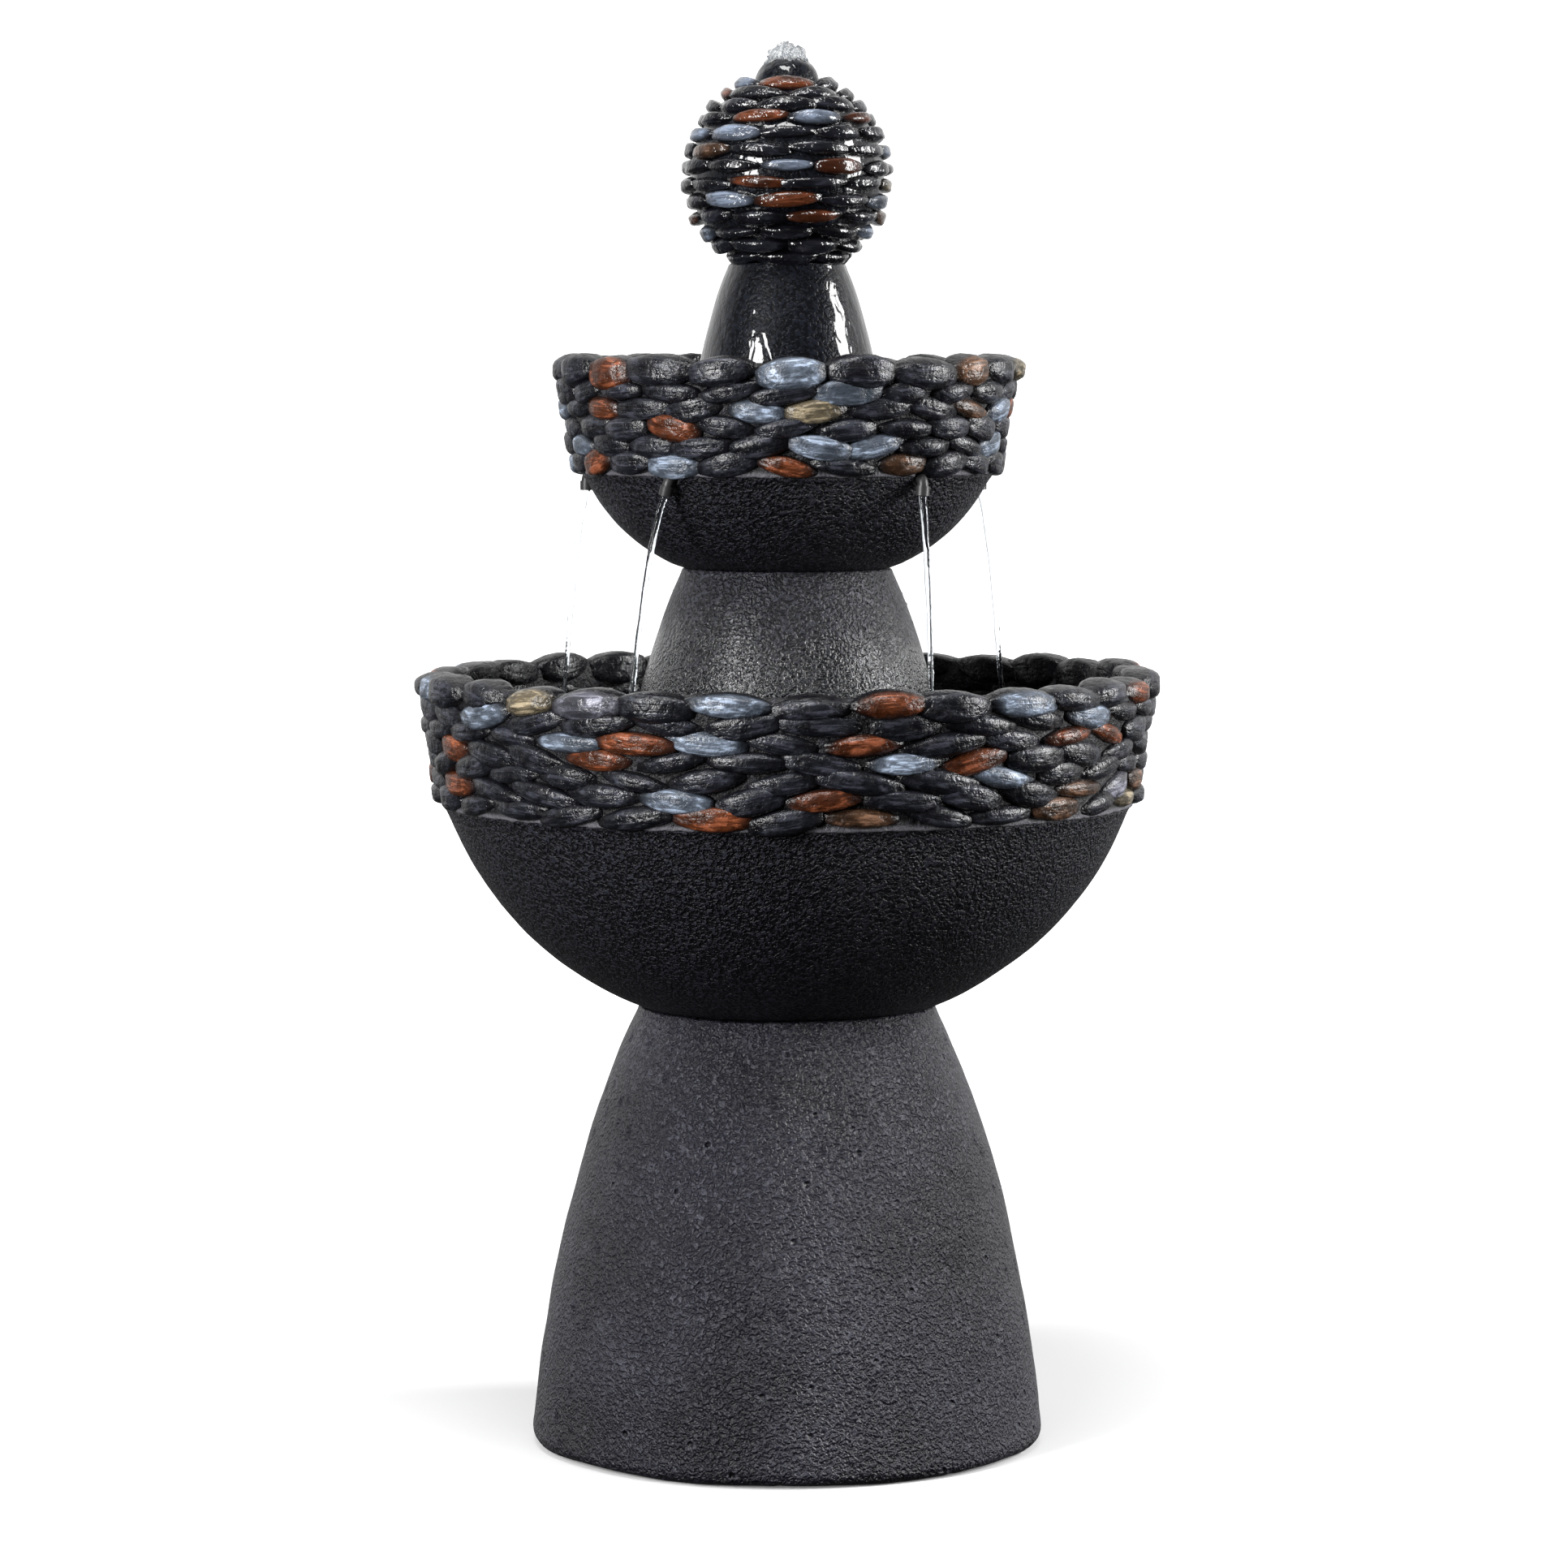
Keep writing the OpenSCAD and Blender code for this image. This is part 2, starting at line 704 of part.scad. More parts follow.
base_pedestal();
lower_bowl();
lower_pebble_band();
cable_grommet();
mid_pedestal();
upper_bowl();
upper_pebble_band();
hose_grommet();
nozzle_grommets();
for (i = [0 : nozzle_count - 1]) {
    nozzle(i);
    nozzle_sleeve(i);
}
neck();
ball_shell();
ball_pebble_rings();
spout_dome();
pump_housing();
volute_cover();
pump_strainer();
foam_filter();
impeller();
impeller_shaft();
flow_dial();
suction_cups();
cable_gland();
outlet_barb();
delivery_hose();
hose_clamp();
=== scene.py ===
# %% [markdown]
# # A running three-tier pebble fountain
# The fountain is cast in black stone resin: a bell pedestal, a wide bowl, a smaller pedestal and bowl, a
# neck and a ball. The casting carries courses of hand-painted pebbles, and water runs over its upper
# half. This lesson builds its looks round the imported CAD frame. The frame keeps every size, so it is
# loaded first and never changed.

# %% Load the frame
import json
import math
import random

import bpy
from mathutils import Matrix, Vector


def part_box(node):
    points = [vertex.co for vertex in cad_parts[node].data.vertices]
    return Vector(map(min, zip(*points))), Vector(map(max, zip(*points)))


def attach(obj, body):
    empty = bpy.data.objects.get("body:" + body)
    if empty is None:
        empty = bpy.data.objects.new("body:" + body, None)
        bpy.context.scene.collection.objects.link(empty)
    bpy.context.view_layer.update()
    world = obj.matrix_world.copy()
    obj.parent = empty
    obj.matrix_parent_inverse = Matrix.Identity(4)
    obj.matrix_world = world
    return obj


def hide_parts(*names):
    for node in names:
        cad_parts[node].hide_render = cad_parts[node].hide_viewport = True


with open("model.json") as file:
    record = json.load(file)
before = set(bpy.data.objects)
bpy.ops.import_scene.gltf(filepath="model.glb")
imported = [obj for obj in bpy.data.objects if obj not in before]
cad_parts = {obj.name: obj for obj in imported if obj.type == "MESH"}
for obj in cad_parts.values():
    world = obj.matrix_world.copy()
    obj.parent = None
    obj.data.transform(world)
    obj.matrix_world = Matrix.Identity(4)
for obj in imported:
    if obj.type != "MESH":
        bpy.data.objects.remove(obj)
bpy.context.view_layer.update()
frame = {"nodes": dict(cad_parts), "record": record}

# %% [markdown]
# ## The camera
# A long lens far away keeps the tiers from bulging. The camera stands at the height of the upper bowl and
# looks down a little, so the rims show as flat ellipses and the inside of the lower bowl just shows
# behind its front rim.

# %% Camera
camera_data = bpy.data.cameras.new("camera")
camera_data.lens = 120
camera_data.sensor_width = 36
camera = bpy.data.objects.new("camera", camera_data)
camera.location = (-0.0024, -3.92, 0.82)
camera.rotation_euler = (math.radians(90 - 4.71), 0, 0)
bpy.context.scene.collection.objects.link(camera)
bpy.context.scene.camera = camera
print("camera at", tuple(camera.location))

# %% [markdown]
# ## The studio
# A white sweep stands behind the fountain: one plane whose far edge is pulled up, with the fold bevelled
# round, so no horizon line shows. Two tall soft boxes light a dark, glossy object best, because each one
# becomes a long bright streak on the wet neck and a soft edge on the bells. A white world fills the
# shadows. It is dark in front and below, and the sweep throws no light back, so the black casting stays
# black.


# %% Helpers for selecting and for edit mode
def select_only(piece):
    bpy.ops.object.select_all(action="DESELECT")
    piece.select_set(True)
    bpy.context.view_layer.objects.active = piece


def edit(piece):
    select_only(piece)
    bpy.ops.object.mode_set(mode="EDIT")
    bpy.ops.mesh.select_all(action="DESELECT")
    bpy.ops.object.mode_set(mode="OBJECT")


def leave_edit():
    bpy.ops.object.mode_set(mode="OBJECT")


def pick_vertices(piece, wanted):
    """Selects the vertices whose place passes the test, and opens edit mode on them."""
    edit(piece)
    for vertex in piece.data.vertices:
        vertex.select = wanted(vertex.co)
    bpy.ops.object.mode_set(mode="EDIT")


def settle(piece):
    """Puts the piece's place, turn and size into its mesh."""
    select_only(piece)
    bpy.ops.object.transform_apply(location=True, rotation=True, scale=True)


# %% Sweep behind the fountain
SWEEP_SIZE = 14
SWEEP_BACK = 5
SWEEP_H = 6
SWEEP_FOLD = 2.5
bpy.ops.object.select_all(action="DESELECT")
bpy.ops.mesh.primitive_plane_add(size=SWEEP_SIZE, location=(0, SWEEP_BACK - SWEEP_SIZE / 2, 0))
sweep = bpy.context.object
sweep.name = "sweep"
settle(sweep)
bpy.context.tool_settings.mesh_select_mode = (False, True, False)
edit(sweep)
for edge in sweep.data.edges:
    ends = [sweep.data.vertices[i].co.y for i in edge.vertices]
    edge.select = min(ends) > SWEEP_BACK - 0.01
bpy.ops.object.mode_set(mode="EDIT")
bpy.ops.mesh.extrude_region_move(TRANSFORM_OT_translate={"value": (0, 0, SWEEP_H)})
leave_edit()
edit(sweep)
for edge in sweep.data.edges:
    ends = [sweep.data.vertices[i].co for i in edge.vertices]
    edge.select = all(p.y > SWEEP_BACK - 0.01 and p.z < 0.01 for p in ends)
bpy.ops.object.mode_set(mode="EDIT")
bpy.ops.mesh.bevel(offset=SWEEP_FOLD, segments=24, affect="EDGES")
leave_edit()
bpy.context.tool_settings.mesh_select_mode = (True, False, False)
for face in sweep.data.polygons:
    face.use_smooth = True
white = bpy.data.materials.new("white_sweep")
white.use_nodes = True
paper = white.node_tree.nodes["Principled BSDF"]
paper.inputs["Base Color"].default_value = (0.9, 0.9, 0.9, 1)
paper.inputs["Roughness"].default_value = 0.9
paper.inputs["Emission Color"].default_value = (1, 1, 1, 1)
paper.inputs["Emission Strength"].default_value = 0.12
sweep.data.materials.append(white)
sweep.visible_diffuse = False
sweep.visible_glossy = False
print("sweep", len(sweep.data.polygons), "faces")


# %% Soft boxes and white surround
def soft_box(name, azimuth, distance, height, size, power):
    """An area light that looks at the fountain. Azimuth 0 is in front, and 90 is at its right."""
    light = bpy.data.lights.new(name, "AREA")
    light.shape = "RECTANGLE"
    light.size = size[0]
    light.size_y = size[1]
    light.energy = power
    lamp = bpy.data.objects.new(name, light)
    turn = math.radians(azimuth)
    lamp.location = (distance * math.sin(turn), -distance * math.cos(turn), height)
    aim = Vector((0, 0, 0.6)) - lamp.location
    lamp.rotation_euler = aim.to_track_quat("-Z", "Y").to_euler()
    bpy.context.scene.collection.objects.link(lamp)
    return lamp


soft_box("left_box", -42, 2.5, 1.25, (0.7, 1.5), 80)
soft_box("right_box", 86, 2.2, 1.2, (0.7, 1.6), 70)
soft_box("top_box", -10, 0.9, 2.9, (1.2, 0.8), 45)
backlight = soft_box("backlight", 180, 1.6, 2.4, (4.0, 1.5), 200)
backlight.rotation_euler = (Vector((0, 5, 1.4)) - backlight.location).to_track_quat("-Z", "Y").to_euler()
world = bpy.data.worlds.new("white_surround")
world.use_nodes = True
surround = world.node_tree
direction = surround.nodes.new("ShaderNodeTexCoord")
parts = surround.nodes.new("ShaderNodeSeparateXYZ")
surround.links.new(direction.outputs["Generated"], parts.inputs[0])
strength = surround.nodes.new("ShaderNodeMath")
strength.operation = "MULTIPLY"
fades = (("Y", -0.2, 0.8, 0.05, 0.9), ("Z", -0.4, 0.15, 0.06, 1.0))     # dark in front, and dark below
for i, (axis, start, end, dark, bright) in enumerate(fades):
    fade = surround.nodes.new("ShaderNodeMapRange")
    fade.interpolation_type = "SMOOTHSTEP"
    for socket, value in zip(("From Min", "From Max", "To Min", "To Max"), (start, end, dark, bright)):
        fade.inputs[socket].default_value = value
    surround.links.new(parts.outputs[axis], fade.inputs["Value"])
    surround.links.new(fade.outputs["Result"], strength.inputs[i])
surround.links.new(strength.outputs[0], surround.nodes["Background"].inputs["Strength"])
surround.nodes["Background"].inputs["Color"].default_value = (1, 1, 1, 1)
bpy.context.scene.world = world
bpy.context.scene.view_settings.view_transform = "Standard"

# %% [markdown]
# ## Reading the frame
# Every turned piece is drawn from a few radii and heights. They are read from the CAD nodes, where the
# edges of the turned solids give exact rings of vertices, so the looks follow the frame when a size
# changes.


# %% Sizes from the frame
def ring_radius(node, height):
    """The largest radius of a CAD node's vertices at one height."""
    near = 0.0003
    corners = [v.co for v in frame["nodes"][node].data.vertices]
    return max(math.hypot(co.x, co.y) for co in corners if abs(co.z - height) < near)


SEAT_H = 0.006      # centring ring on top of a pedestal
SEAT_IN = 0.016     # width of the shoulder outside it
SEAT_W = 0.009      # width of the ring
PLAY = 0.001        # play round the ring
CREASE = 0.0008     # between the two points that hold a sharp edge

base_foot_r = ring_radius("base_pedestal", 0)
base_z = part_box("lower_bowl")[0].z
base_top_r = ring_radius("lower_bowl", base_z)
lower_floor_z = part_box("mid_pedestal")[0].z
lower_ledge_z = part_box("lower_pebble_band")[0].z
lower_ledge_r = ring_radius("lower_bowl", lower_ledge_z)
lower_wall_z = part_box("lower_bowl")[1].z
lower_wall_r = ring_radius("lower_bowl", lower_wall_z)
lower_rim_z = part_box("lower_pebble_band")[1].z

mid_foot_r = ring_radius("mid_pedestal", lower_floor_z)
upper_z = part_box("upper_bowl")[0].z
mid_top_r = ring_radius("upper_bowl", upper_z)
upper_floor_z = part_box("neck")[0].z
upper_ledge_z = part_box("upper_pebble_band")[0].z
upper_ledge_r = ring_radius("upper_bowl", upper_ledge_z)
upper_wall_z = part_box("upper_bowl")[1].z
upper_wall_r = ring_radius("upper_bowl", upper_wall_z)
upper_rim_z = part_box("upper_pebble_band")[1].z

neck_foot_r = ring_radius("neck", upper_floor_z)
ball_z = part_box("ball_shell")[0].z
neck_top_r = ring_radius("neck", ball_z)
ball_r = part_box("ball_shell")[1].x
SPIGOT_R = 0.014    # hole in the top of the ball
ball_mid_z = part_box("ball_shell")[1].z - math.sqrt(ball_r ** 2 - SPIGOT_R ** 2)
spout_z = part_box("spout_dome")[1].z
print("radii", [round(r, 4) for r in (lower_ledge_r, upper_ledge_r, ball_r)], "of the ledges and the ball")

# %% [markdown]
# ## Turning a piece
# A casting like this starts as a turned master. In Blender the same thing is a spin: one point is drawn
# along half of the outline, and the line is spun once round the axis. The outline here is a coarse one,
# with a point each centimetre, and two levels of subdivision make it smooth and dense enough for real
# dents. A sharp edge is a pair of points that lie close together. The other way, a cylinder with many
# loops, would need far more steps for the bows.


# %% Turning helpers
def bowed(start, end, bow, steps):
    """Points from start up to, and without, end, on a line that bows out by bow to the right of the way."""
    start = Vector(start)
    end = Vector(end)
    way = (end - start).normalized()
    out = Vector((way.y, -way.x)) * bow
    return [start.lerp(end, i / steps) + out * 4 * (i / steps) * (1 - i / steps) for i in range(steps)]


def turned(name, outline, steps=120, closed=True):
    """A piece turned on the fountain's axis from an outline of (radius, height) points."""
    path = [Vector((p[0], 0, p[1])) for p in outline]
    if closed:
        path.append(path[0])
    bpy.ops.object.select_all(action="DESELECT")
    bpy.ops.mesh.primitive_plane_add(size=0.001, location=path[0])
    piece = bpy.context.object
    piece.name = name
    piece.data.name = name
    bpy.ops.object.mode_set(mode="EDIT")
    bpy.ops.mesh.merge(type="CENTER")
    for here, there in zip(path, path[1:]):
        bpy.ops.mesh.extrude_vertices_move(TRANSFORM_OT_translate={"value": there - here})
    bpy.ops.mesh.select_all(action="SELECT")
    bpy.ops.mesh.remove_doubles(threshold=0.00001)
    bpy.ops.mesh.spin(steps=steps, angle=math.tau, center=(0, 0, 0), axis=(0, 0, 1))
    bpy.ops.mesh.select_all(action="SELECT")
    bpy.ops.mesh.remove_doubles(threshold=0.00001)
    bpy.ops.mesh.normals_make_consistent(inside=False)
    leave_edit()
    settle(piece)
    return piece


def apply_modifier(piece, modifier):
    select_only(piece)
    bpy.ops.object.modifier_apply(modifier=modifier.name)


def subdivided(piece, levels):
    modifier = piece.modifiers.new("smooth", "SUBSURF")
    modifier.levels = levels
    modifier.render_levels = levels
    apply_modifier(piece, modifier)
    return piece


def uneven(piece, size, depth, group=""):
    """Soft swells and hollows of one size, in metres, as a hand-finished mould leaves them."""
    clouds = bpy.data.textures.new("swells", "CLOUDS")
    clouds.noise_scale = size
    clouds.noise_depth = 1
    modifier = piece.modifiers.new("uneven", "DISPLACE")
    modifier.texture = clouds
    modifier.texture_coords = "LOCAL"
    modifier.strength = depth
    modifier.vertex_group = group
    apply_modifier(piece, modifier)
    return piece


def pitted(piece, spacing, width, depth):
    """Sparse round dents where air bubbles sat in the mould."""
    cells = bpy.data.textures.new("pits", "VORONOI")
    cells.noise_scale = spacing
    cells.use_color_ramp = True
    ramp = cells.color_ramp
    ramp.interpolation = "EASE"
    ramp.elements[0].position = 0.35 * width / spacing
    ramp.elements[0].color = (0, 0, 0, 1)
    ramp.elements[1].position = width / spacing
    ramp.elements[1].color = (1, 1, 1, 1)
    modifier = piece.modifiers.new("pits", "DISPLACE")
    modifier.texture = cells
    modifier.texture_coords = "LOCAL"
    modifier.strength = depth
    modifier.mid_level = 1
    apply_modifier(piece, modifier)
    return piece


def drilled(piece, radius, start, end):
    """Cuts a round hole from start to end."""
    start = Vector(start)
    end = Vector(end)
    bpy.ops.object.select_all(action="DESELECT")
    bpy.ops.mesh.primitive_cylinder_add(vertices=48, radius=radius, depth=(end - start).length,
                                        location=(start + end) / 2,
                                        rotation=(end - start).to_track_quat("Z", "Y").to_euler())
    drill = bpy.context.object
    modifier = piece.modifiers.new("hole", "BOOLEAN")
    modifier.operation = "DIFFERENCE"
    modifier.solver = "EXACT"
    modifier.object = drill
    apply_modifier(piece, modifier)
    bpy.data.objects.remove(drill)
    return piece


def smooth(piece, degrees=40):
    select_only(piece)
    bpy.ops.object.shade_smooth_by_angle(angle=math.radians(degrees))
    return piece


def report(piece):
    """Prints a piece's number of triangles and its size."""
    faces = sum(len(p.vertices) - 2 for p in piece.data.polygons)
    spans = [max(v.co[i] for v in piece.data.vertices) for i in range(3)]
    print(piece.name, faces, "triangles, to", [round(v, 4) for v in spans])


# %% [markdown]
# ## The bells
# The base pedestal, the middle pedestal and the neck are one shape at three sizes: a hollow bell with a
# rounded foot, a bowed side, a shoulder for the tier above and a low centring ring. One function draws
# them all. The walls are real, because a lifted tier shows the hollow inside.


# %% Bell outline
def bell_outline(foot_r, foot_z, top_r, top_z, bow, wall, rounding):
    side = bowed((foot_r, foot_z), (top_r, top_z), bow, 18)
    lining = bowed((foot_r - wall, foot_z), (top_r - wall, top_z), bow, 8)
    ring_r = top_r - SEAT_IN
    return [
        (foot_r - rounding, foot_z),
        (foot_r - rounding * 0.35, foot_z + rounding * 0.08),
        side[0] + Vector((0.001, rounding * 0.5)),
        *side[1:],
        (top_r + CREASE, top_z - 0.004),
        (top_r, top_z - CREASE),
        (top_r - CREASE * 2, top_z),
        (ring_r + CREASE, top_z),
        (ring_r, top_z + CREASE),
        (ring_r - CREASE, top_z + SEAT_H - CREASE),
        (ring_r - CREASE * 2, top_z + SEAT_H),
        (ring_r - SEAT_W + CREASE, top_z + SEAT_H),
        (ring_r - SEAT_W, top_z + SEAT_H - CREASE),
        (ring_r - SEAT_W, top_z - wall + CREASE),
        (ring_r - SEAT_W + CREASE * 2, top_z - wall),
        (top_r - wall - CREASE, top_z - wall - CREASE),
        *reversed(lining[1:]),
        (foot_r - wall - rounding * 0.6, foot_z + rounding * 0.6),
    ]


# %% Base pedestal
BASE_BOW = 0.015
BASE_WALL = 0.008
base = turned("base_pedestal_cast",
              bell_outline(base_foot_r, 0, base_top_r, base_z, BASE_BOW, BASE_WALL + 0.002, 0.014))
subdivided(base, 2)
uneven(base, 0.09, 0.004)
uneven(base, 0.02, 0.0006)
pitted(base, 0.021, 0.0048, 0.0014)
NOTCH_R = 0.012
pick_vertices(base, lambda co: co.z < 0)
bpy.ops.transform.resize(value=(1, 1, 0), center_override=(0, 0, 0))
leave_edit()
drilled(base, NOTCH_R, (0, base_foot_r - 0.06, 0), (0, base_foot_r + 0.02, 0))
smooth(base)
report(base)

# %% Middle pedestal
MID_BOW = 0.021
MID_WALL = 0.007
INLET_R = 0.014
middle = turned("middle_pedestal_cast",
                bell_outline(mid_foot_r, lower_floor_z, mid_top_r, upper_z, MID_BOW, MID_WALL, 0.006),
                steps=96)
subdivided(middle, 2)
uneven(middle, 0.07, 0.0012)
uneven(middle, 0.015, 0.0004)
for side in (Vector((1, 0, 0)), Vector((0, 1, 0))):
    foot = Vector((0, 0, lower_floor_z))
    drilled(middle, INLET_R, foot - side * 0.16, foot + side * 0.16)
smooth(middle)
report(middle)

# %% Neck
NECK_BOW = 0.013
NECK_WALL = 0.006
neck = turned("neck_cast",
              bell_outline(neck_foot_r, upper_floor_z, neck_top_r, ball_z, NECK_BOW, NECK_WALL, 0.005),
              steps=72)
subdivided(neck, 2)
uneven(neck, 0.05, 0.0009)
smooth(neck)
report(neck)

# %% [markdown]
# ## The bowls
# Each bowl has a bowed underside with a mould texture, a flat floor and a recess below it that sits on
# the centring ring. Above the ledge the wall flares out and is hidden by pebbles. The bowl is turned like
# the bells, and its holes are cut after the subdivision, so that their edges stay crisp.


# %% Bowl outline
def bowl_outline(foot_r, foot_z, ledge_r, ledge_z, wall_r, wall_z, floor_z, bow, wall):
    under = bowed((foot_r, foot_z), (ledge_r, ledge_z), bow, 14)
    inside = bowed((foot_r, foot_z), (ledge_r, ledge_z), bow, 14)
    inside = [p + Vector((-wall * 0.8, wall * 0.6)) for p in inside if p.y + wall * 0.6 > floor_z + 0.004]
    recess_r = foot_r - SEAT_IN + PLAY
    return [
        (recess_r, foot_z + CREASE),
        (recess_r + CREASE, foot_z),
        (foot_r - CREASE * 2, foot_z),
        (foot_r + CREASE * 0.5, foot_z + CREASE),
        *under[1:],
        (ledge_r - CREASE, ledge_z - 0.003),
        (ledge_r + 0.0012, ledge_z - CREASE),
        (ledge_r + 0.001, ledge_z + CREASE),
        *bowed((ledge_r - 0.001, ledge_z + 0.006), (wall_r, wall_z), 0, 5),
        (wall_r, wall_z - CREASE),
        (wall_r - CREASE, wall_z),
        (wall_r - wall + CREASE, wall_z),
        (wall_r - wall, wall_z - CREASE),
        *bowed((wall_r - wall, wall_z - 0.006), (ledge_r - wall, ledge_z), 0, 4),
        *reversed(inside),
        (inside[0].x - 0.006, floor_z),
        *bowed((inside[0].x - 0.012, floor_z), (0.001, floor_z), 0, 6),
        (0, floor_z),
        (0, foot_z + SEAT_H + PLAY),
        (recess_r - CREASE * 2, foot_z + SEAT_H + PLAY),
        (recess_r, foot_z + SEAT_H + PLAY - CREASE),
    ]


def drilled_for_nozzles(piece, radius, reach):
    """Cuts the five holes for the elbow tubes, which end reach outside the ledge."""
    for i in range(NOZZLES):
        way = outward(NOZZLE_TURN + i * NOZZLE_STEP)
        level = Vector((0, 0, nozzle_z))
        drilled(piece, radius, level + way * (upper_ledge_r - 0.02), level + way * (upper_ledge_r + reach))


# %% Lower bowl
LOWER_BOW = 0.023
LOWER_WALL = 0.008
cable_low, cable_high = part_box("cable_grommet")
cable_x, cable_y, _ = (cable_low + cable_high) / 2
CABLE_HOLE_R = 0.007
lower_bowl = turned("lower_bowl_cast",
                    bowl_outline(base_top_r, base_z, lower_ledge_r, lower_ledge_z, lower_wall_r, lower_wall_z,
                                 lower_floor_z, LOWER_BOW, LOWER_WALL), steps=108, closed=False)
subdivided(lower_bowl, 2)
uneven(lower_bowl, 0.1, 0.002)
uneven(lower_bowl, 0.018, 0.0005)
pitted(lower_bowl, 0.026, 0.0036, 0.0006)
drilled(lower_bowl, CABLE_HOLE_R, (cable_x, cable_y, base_z - 0.02), (cable_x, cable_y, lower_floor_z + 0.02))
smooth(lower_bowl)
report(lower_bowl)

# %% Upper bowl
UPPER_BOW = 0.010
UPPER_WALL = 0.007
NOZZLES = 5
NOZZLE_TURN = -33       # of the first nozzle, in degrees from the front towards +X
NOZZLE_STEP = 360 / NOZZLES
GROMMET_R = 0.006
HOSE_HOLE_R = 0.012


def outward(degrees):
    """The level direction that points out from the axis at an angle from the front towards +X."""
    turn = math.radians(degrees)
    return Vector((math.sin(turn), -math.cos(turn), 0))


nozzle_z = upper_ledge_z
upper_bowl = turned("upper_bowl_cast",
                    bowl_outline(mid_top_r, upper_z, upper_ledge_r, upper_ledge_z, upper_wall_r, upper_wall_z,
                                 upper_floor_z, UPPER_BOW, UPPER_WALL), steps=96, closed=False)
subdivided(upper_bowl, 2)
uneven(upper_bowl, 0.07, 0.0012)
uneven(upper_bowl, 0.014, 0.0004)
drilled_for_nozzles(upper_bowl, GROMMET_R, 0.02)
drilled(upper_bowl, HOSE_HOLE_R, (0, 0, upper_z - 0.01), (0, 0, upper_floor_z + 0.02))
smooth(upper_bowl)
report(upper_bowl)

# %% [markdown]
# ## One pebble
# The pebbles are flat beach stones laid on their sides. A cube cut into nine squares a side and cast to a
# ball gives an even mesh of 54 faces, with no poles. Its two ends are then pinched, more or less, which
# gives five shapes from a full oval to a sliver. Each pebble remembers three things for its paint and for
# the painted highlight and shade on it: where a point lies along the stone, how far it stands out of the
# mortar, and the colour of the stone.


# %% Pebble shapes
def new_pebble(name, left, right, crest):
    """A stone from -1 to 1 along X, Y and Z, with its face towards -Y. Left and right say how full its ends
    are, and crest how blunt its face is."""
    bpy.ops.object.select_all(action="DESELECT")
    bpy.ops.mesh.primitive_cube_add(size=2)
    stone = bpy.context.object
    stone.name = name
    bpy.ops.object.mode_set(mode="EDIT")
    bpy.ops.mesh.subdivide(number_cuts=2)
    leave_edit()
    cast = stone.modifiers.new("round", "CAST")
    cast.factor = 1.0
    cast.radius = 1.0
    cast.size = 1.0
    cast.use_radius_as_size = False
    apply_modifier(stone, cast)
    for end, full in ((-1, left), (1, right)):
        pick_vertices(stone, lambda co: co.x * end > 0.5)
        bpy.ops.transform.resize(value=(1.0, full, full), center_override=(0, 0, 0))
        leave_edit()
        pick_vertices(stone, lambda co: co.x * end > 0.85)
        bpy.ops.transform.resize(value=(1.0, full * 0.7, full * 0.7), center_override=(0, 0, 0))
        leave_edit()
    pick_vertices(stone, lambda co: co.y < -0.5)
    bpy.ops.transform.resize(value=(1.0, 1.0, crest), center_override=(0, 0, 0))
    leave_edit()
    spans = [max(abs(v.co[i]) for v in stone.data.vertices) for i in range(3)]
    for vertex in stone.data.vertices:
        vertex.co = Vector([vertex.co[i] / spans[i] for i in range(3)])
    return stone


pebble_shapes = [
    new_pebble("oval", 0.85, 0.8, 0.85),
    new_pebble("almond", 0.68, 0.62, 0.7),
    new_pebble("blunt", 0.95, 0.66, 0.8),
    new_pebble("wedge", 0.6, 0.9, 0.6),
    new_pebble("sliver", 0.72, 0.75, 0.5),
]
print("pebble", len(pebble_shapes[0].data.polygons), "faces,", len(pebble_shapes), "shapes")


# %% [markdown]
# ## Laying the courses
# A mason lays each course round the bowl in a running bond, so a joint never stands over another joint.
# The stones follow the curve: a point's distance along the stone becomes an angle, and its depth becomes
# a distance from the axis. Length, height, tilt and shape vary a little from stone to stone, from a
# seeded draw, so every run is alike. A course names its painted stones from the left edge of the front to
# its right edge; the back goes on at random.


# %% Paint colours and the laying of one stone
def paint(red, green, blue):
    """A colour from its usual 0 to 255 values, as the light-linear values that the shader wants."""
    def linear(value):
        share = value / 255
        return share / 12.92 if share <= 0.04045 else ((share + 0.055) / 1.055) ** 2.4
    return (linear(red), linear(green), linear(blue), 1)


PAINTS = {
    "k": paint(30, 31, 38),      # charcoal
    "b": paint(110, 120, 135),   # blue-grey
    "r": paint(96, 50, 28),      # rust
    "n": paint(84, 60, 44),      # brown
    "t": paint(104, 94, 76),    # tan
    "g": paint(92, 92, 102),     # grey
}
MIX = "kkkkkkkkkkbbbrrrnt"
draw = random.Random(7)


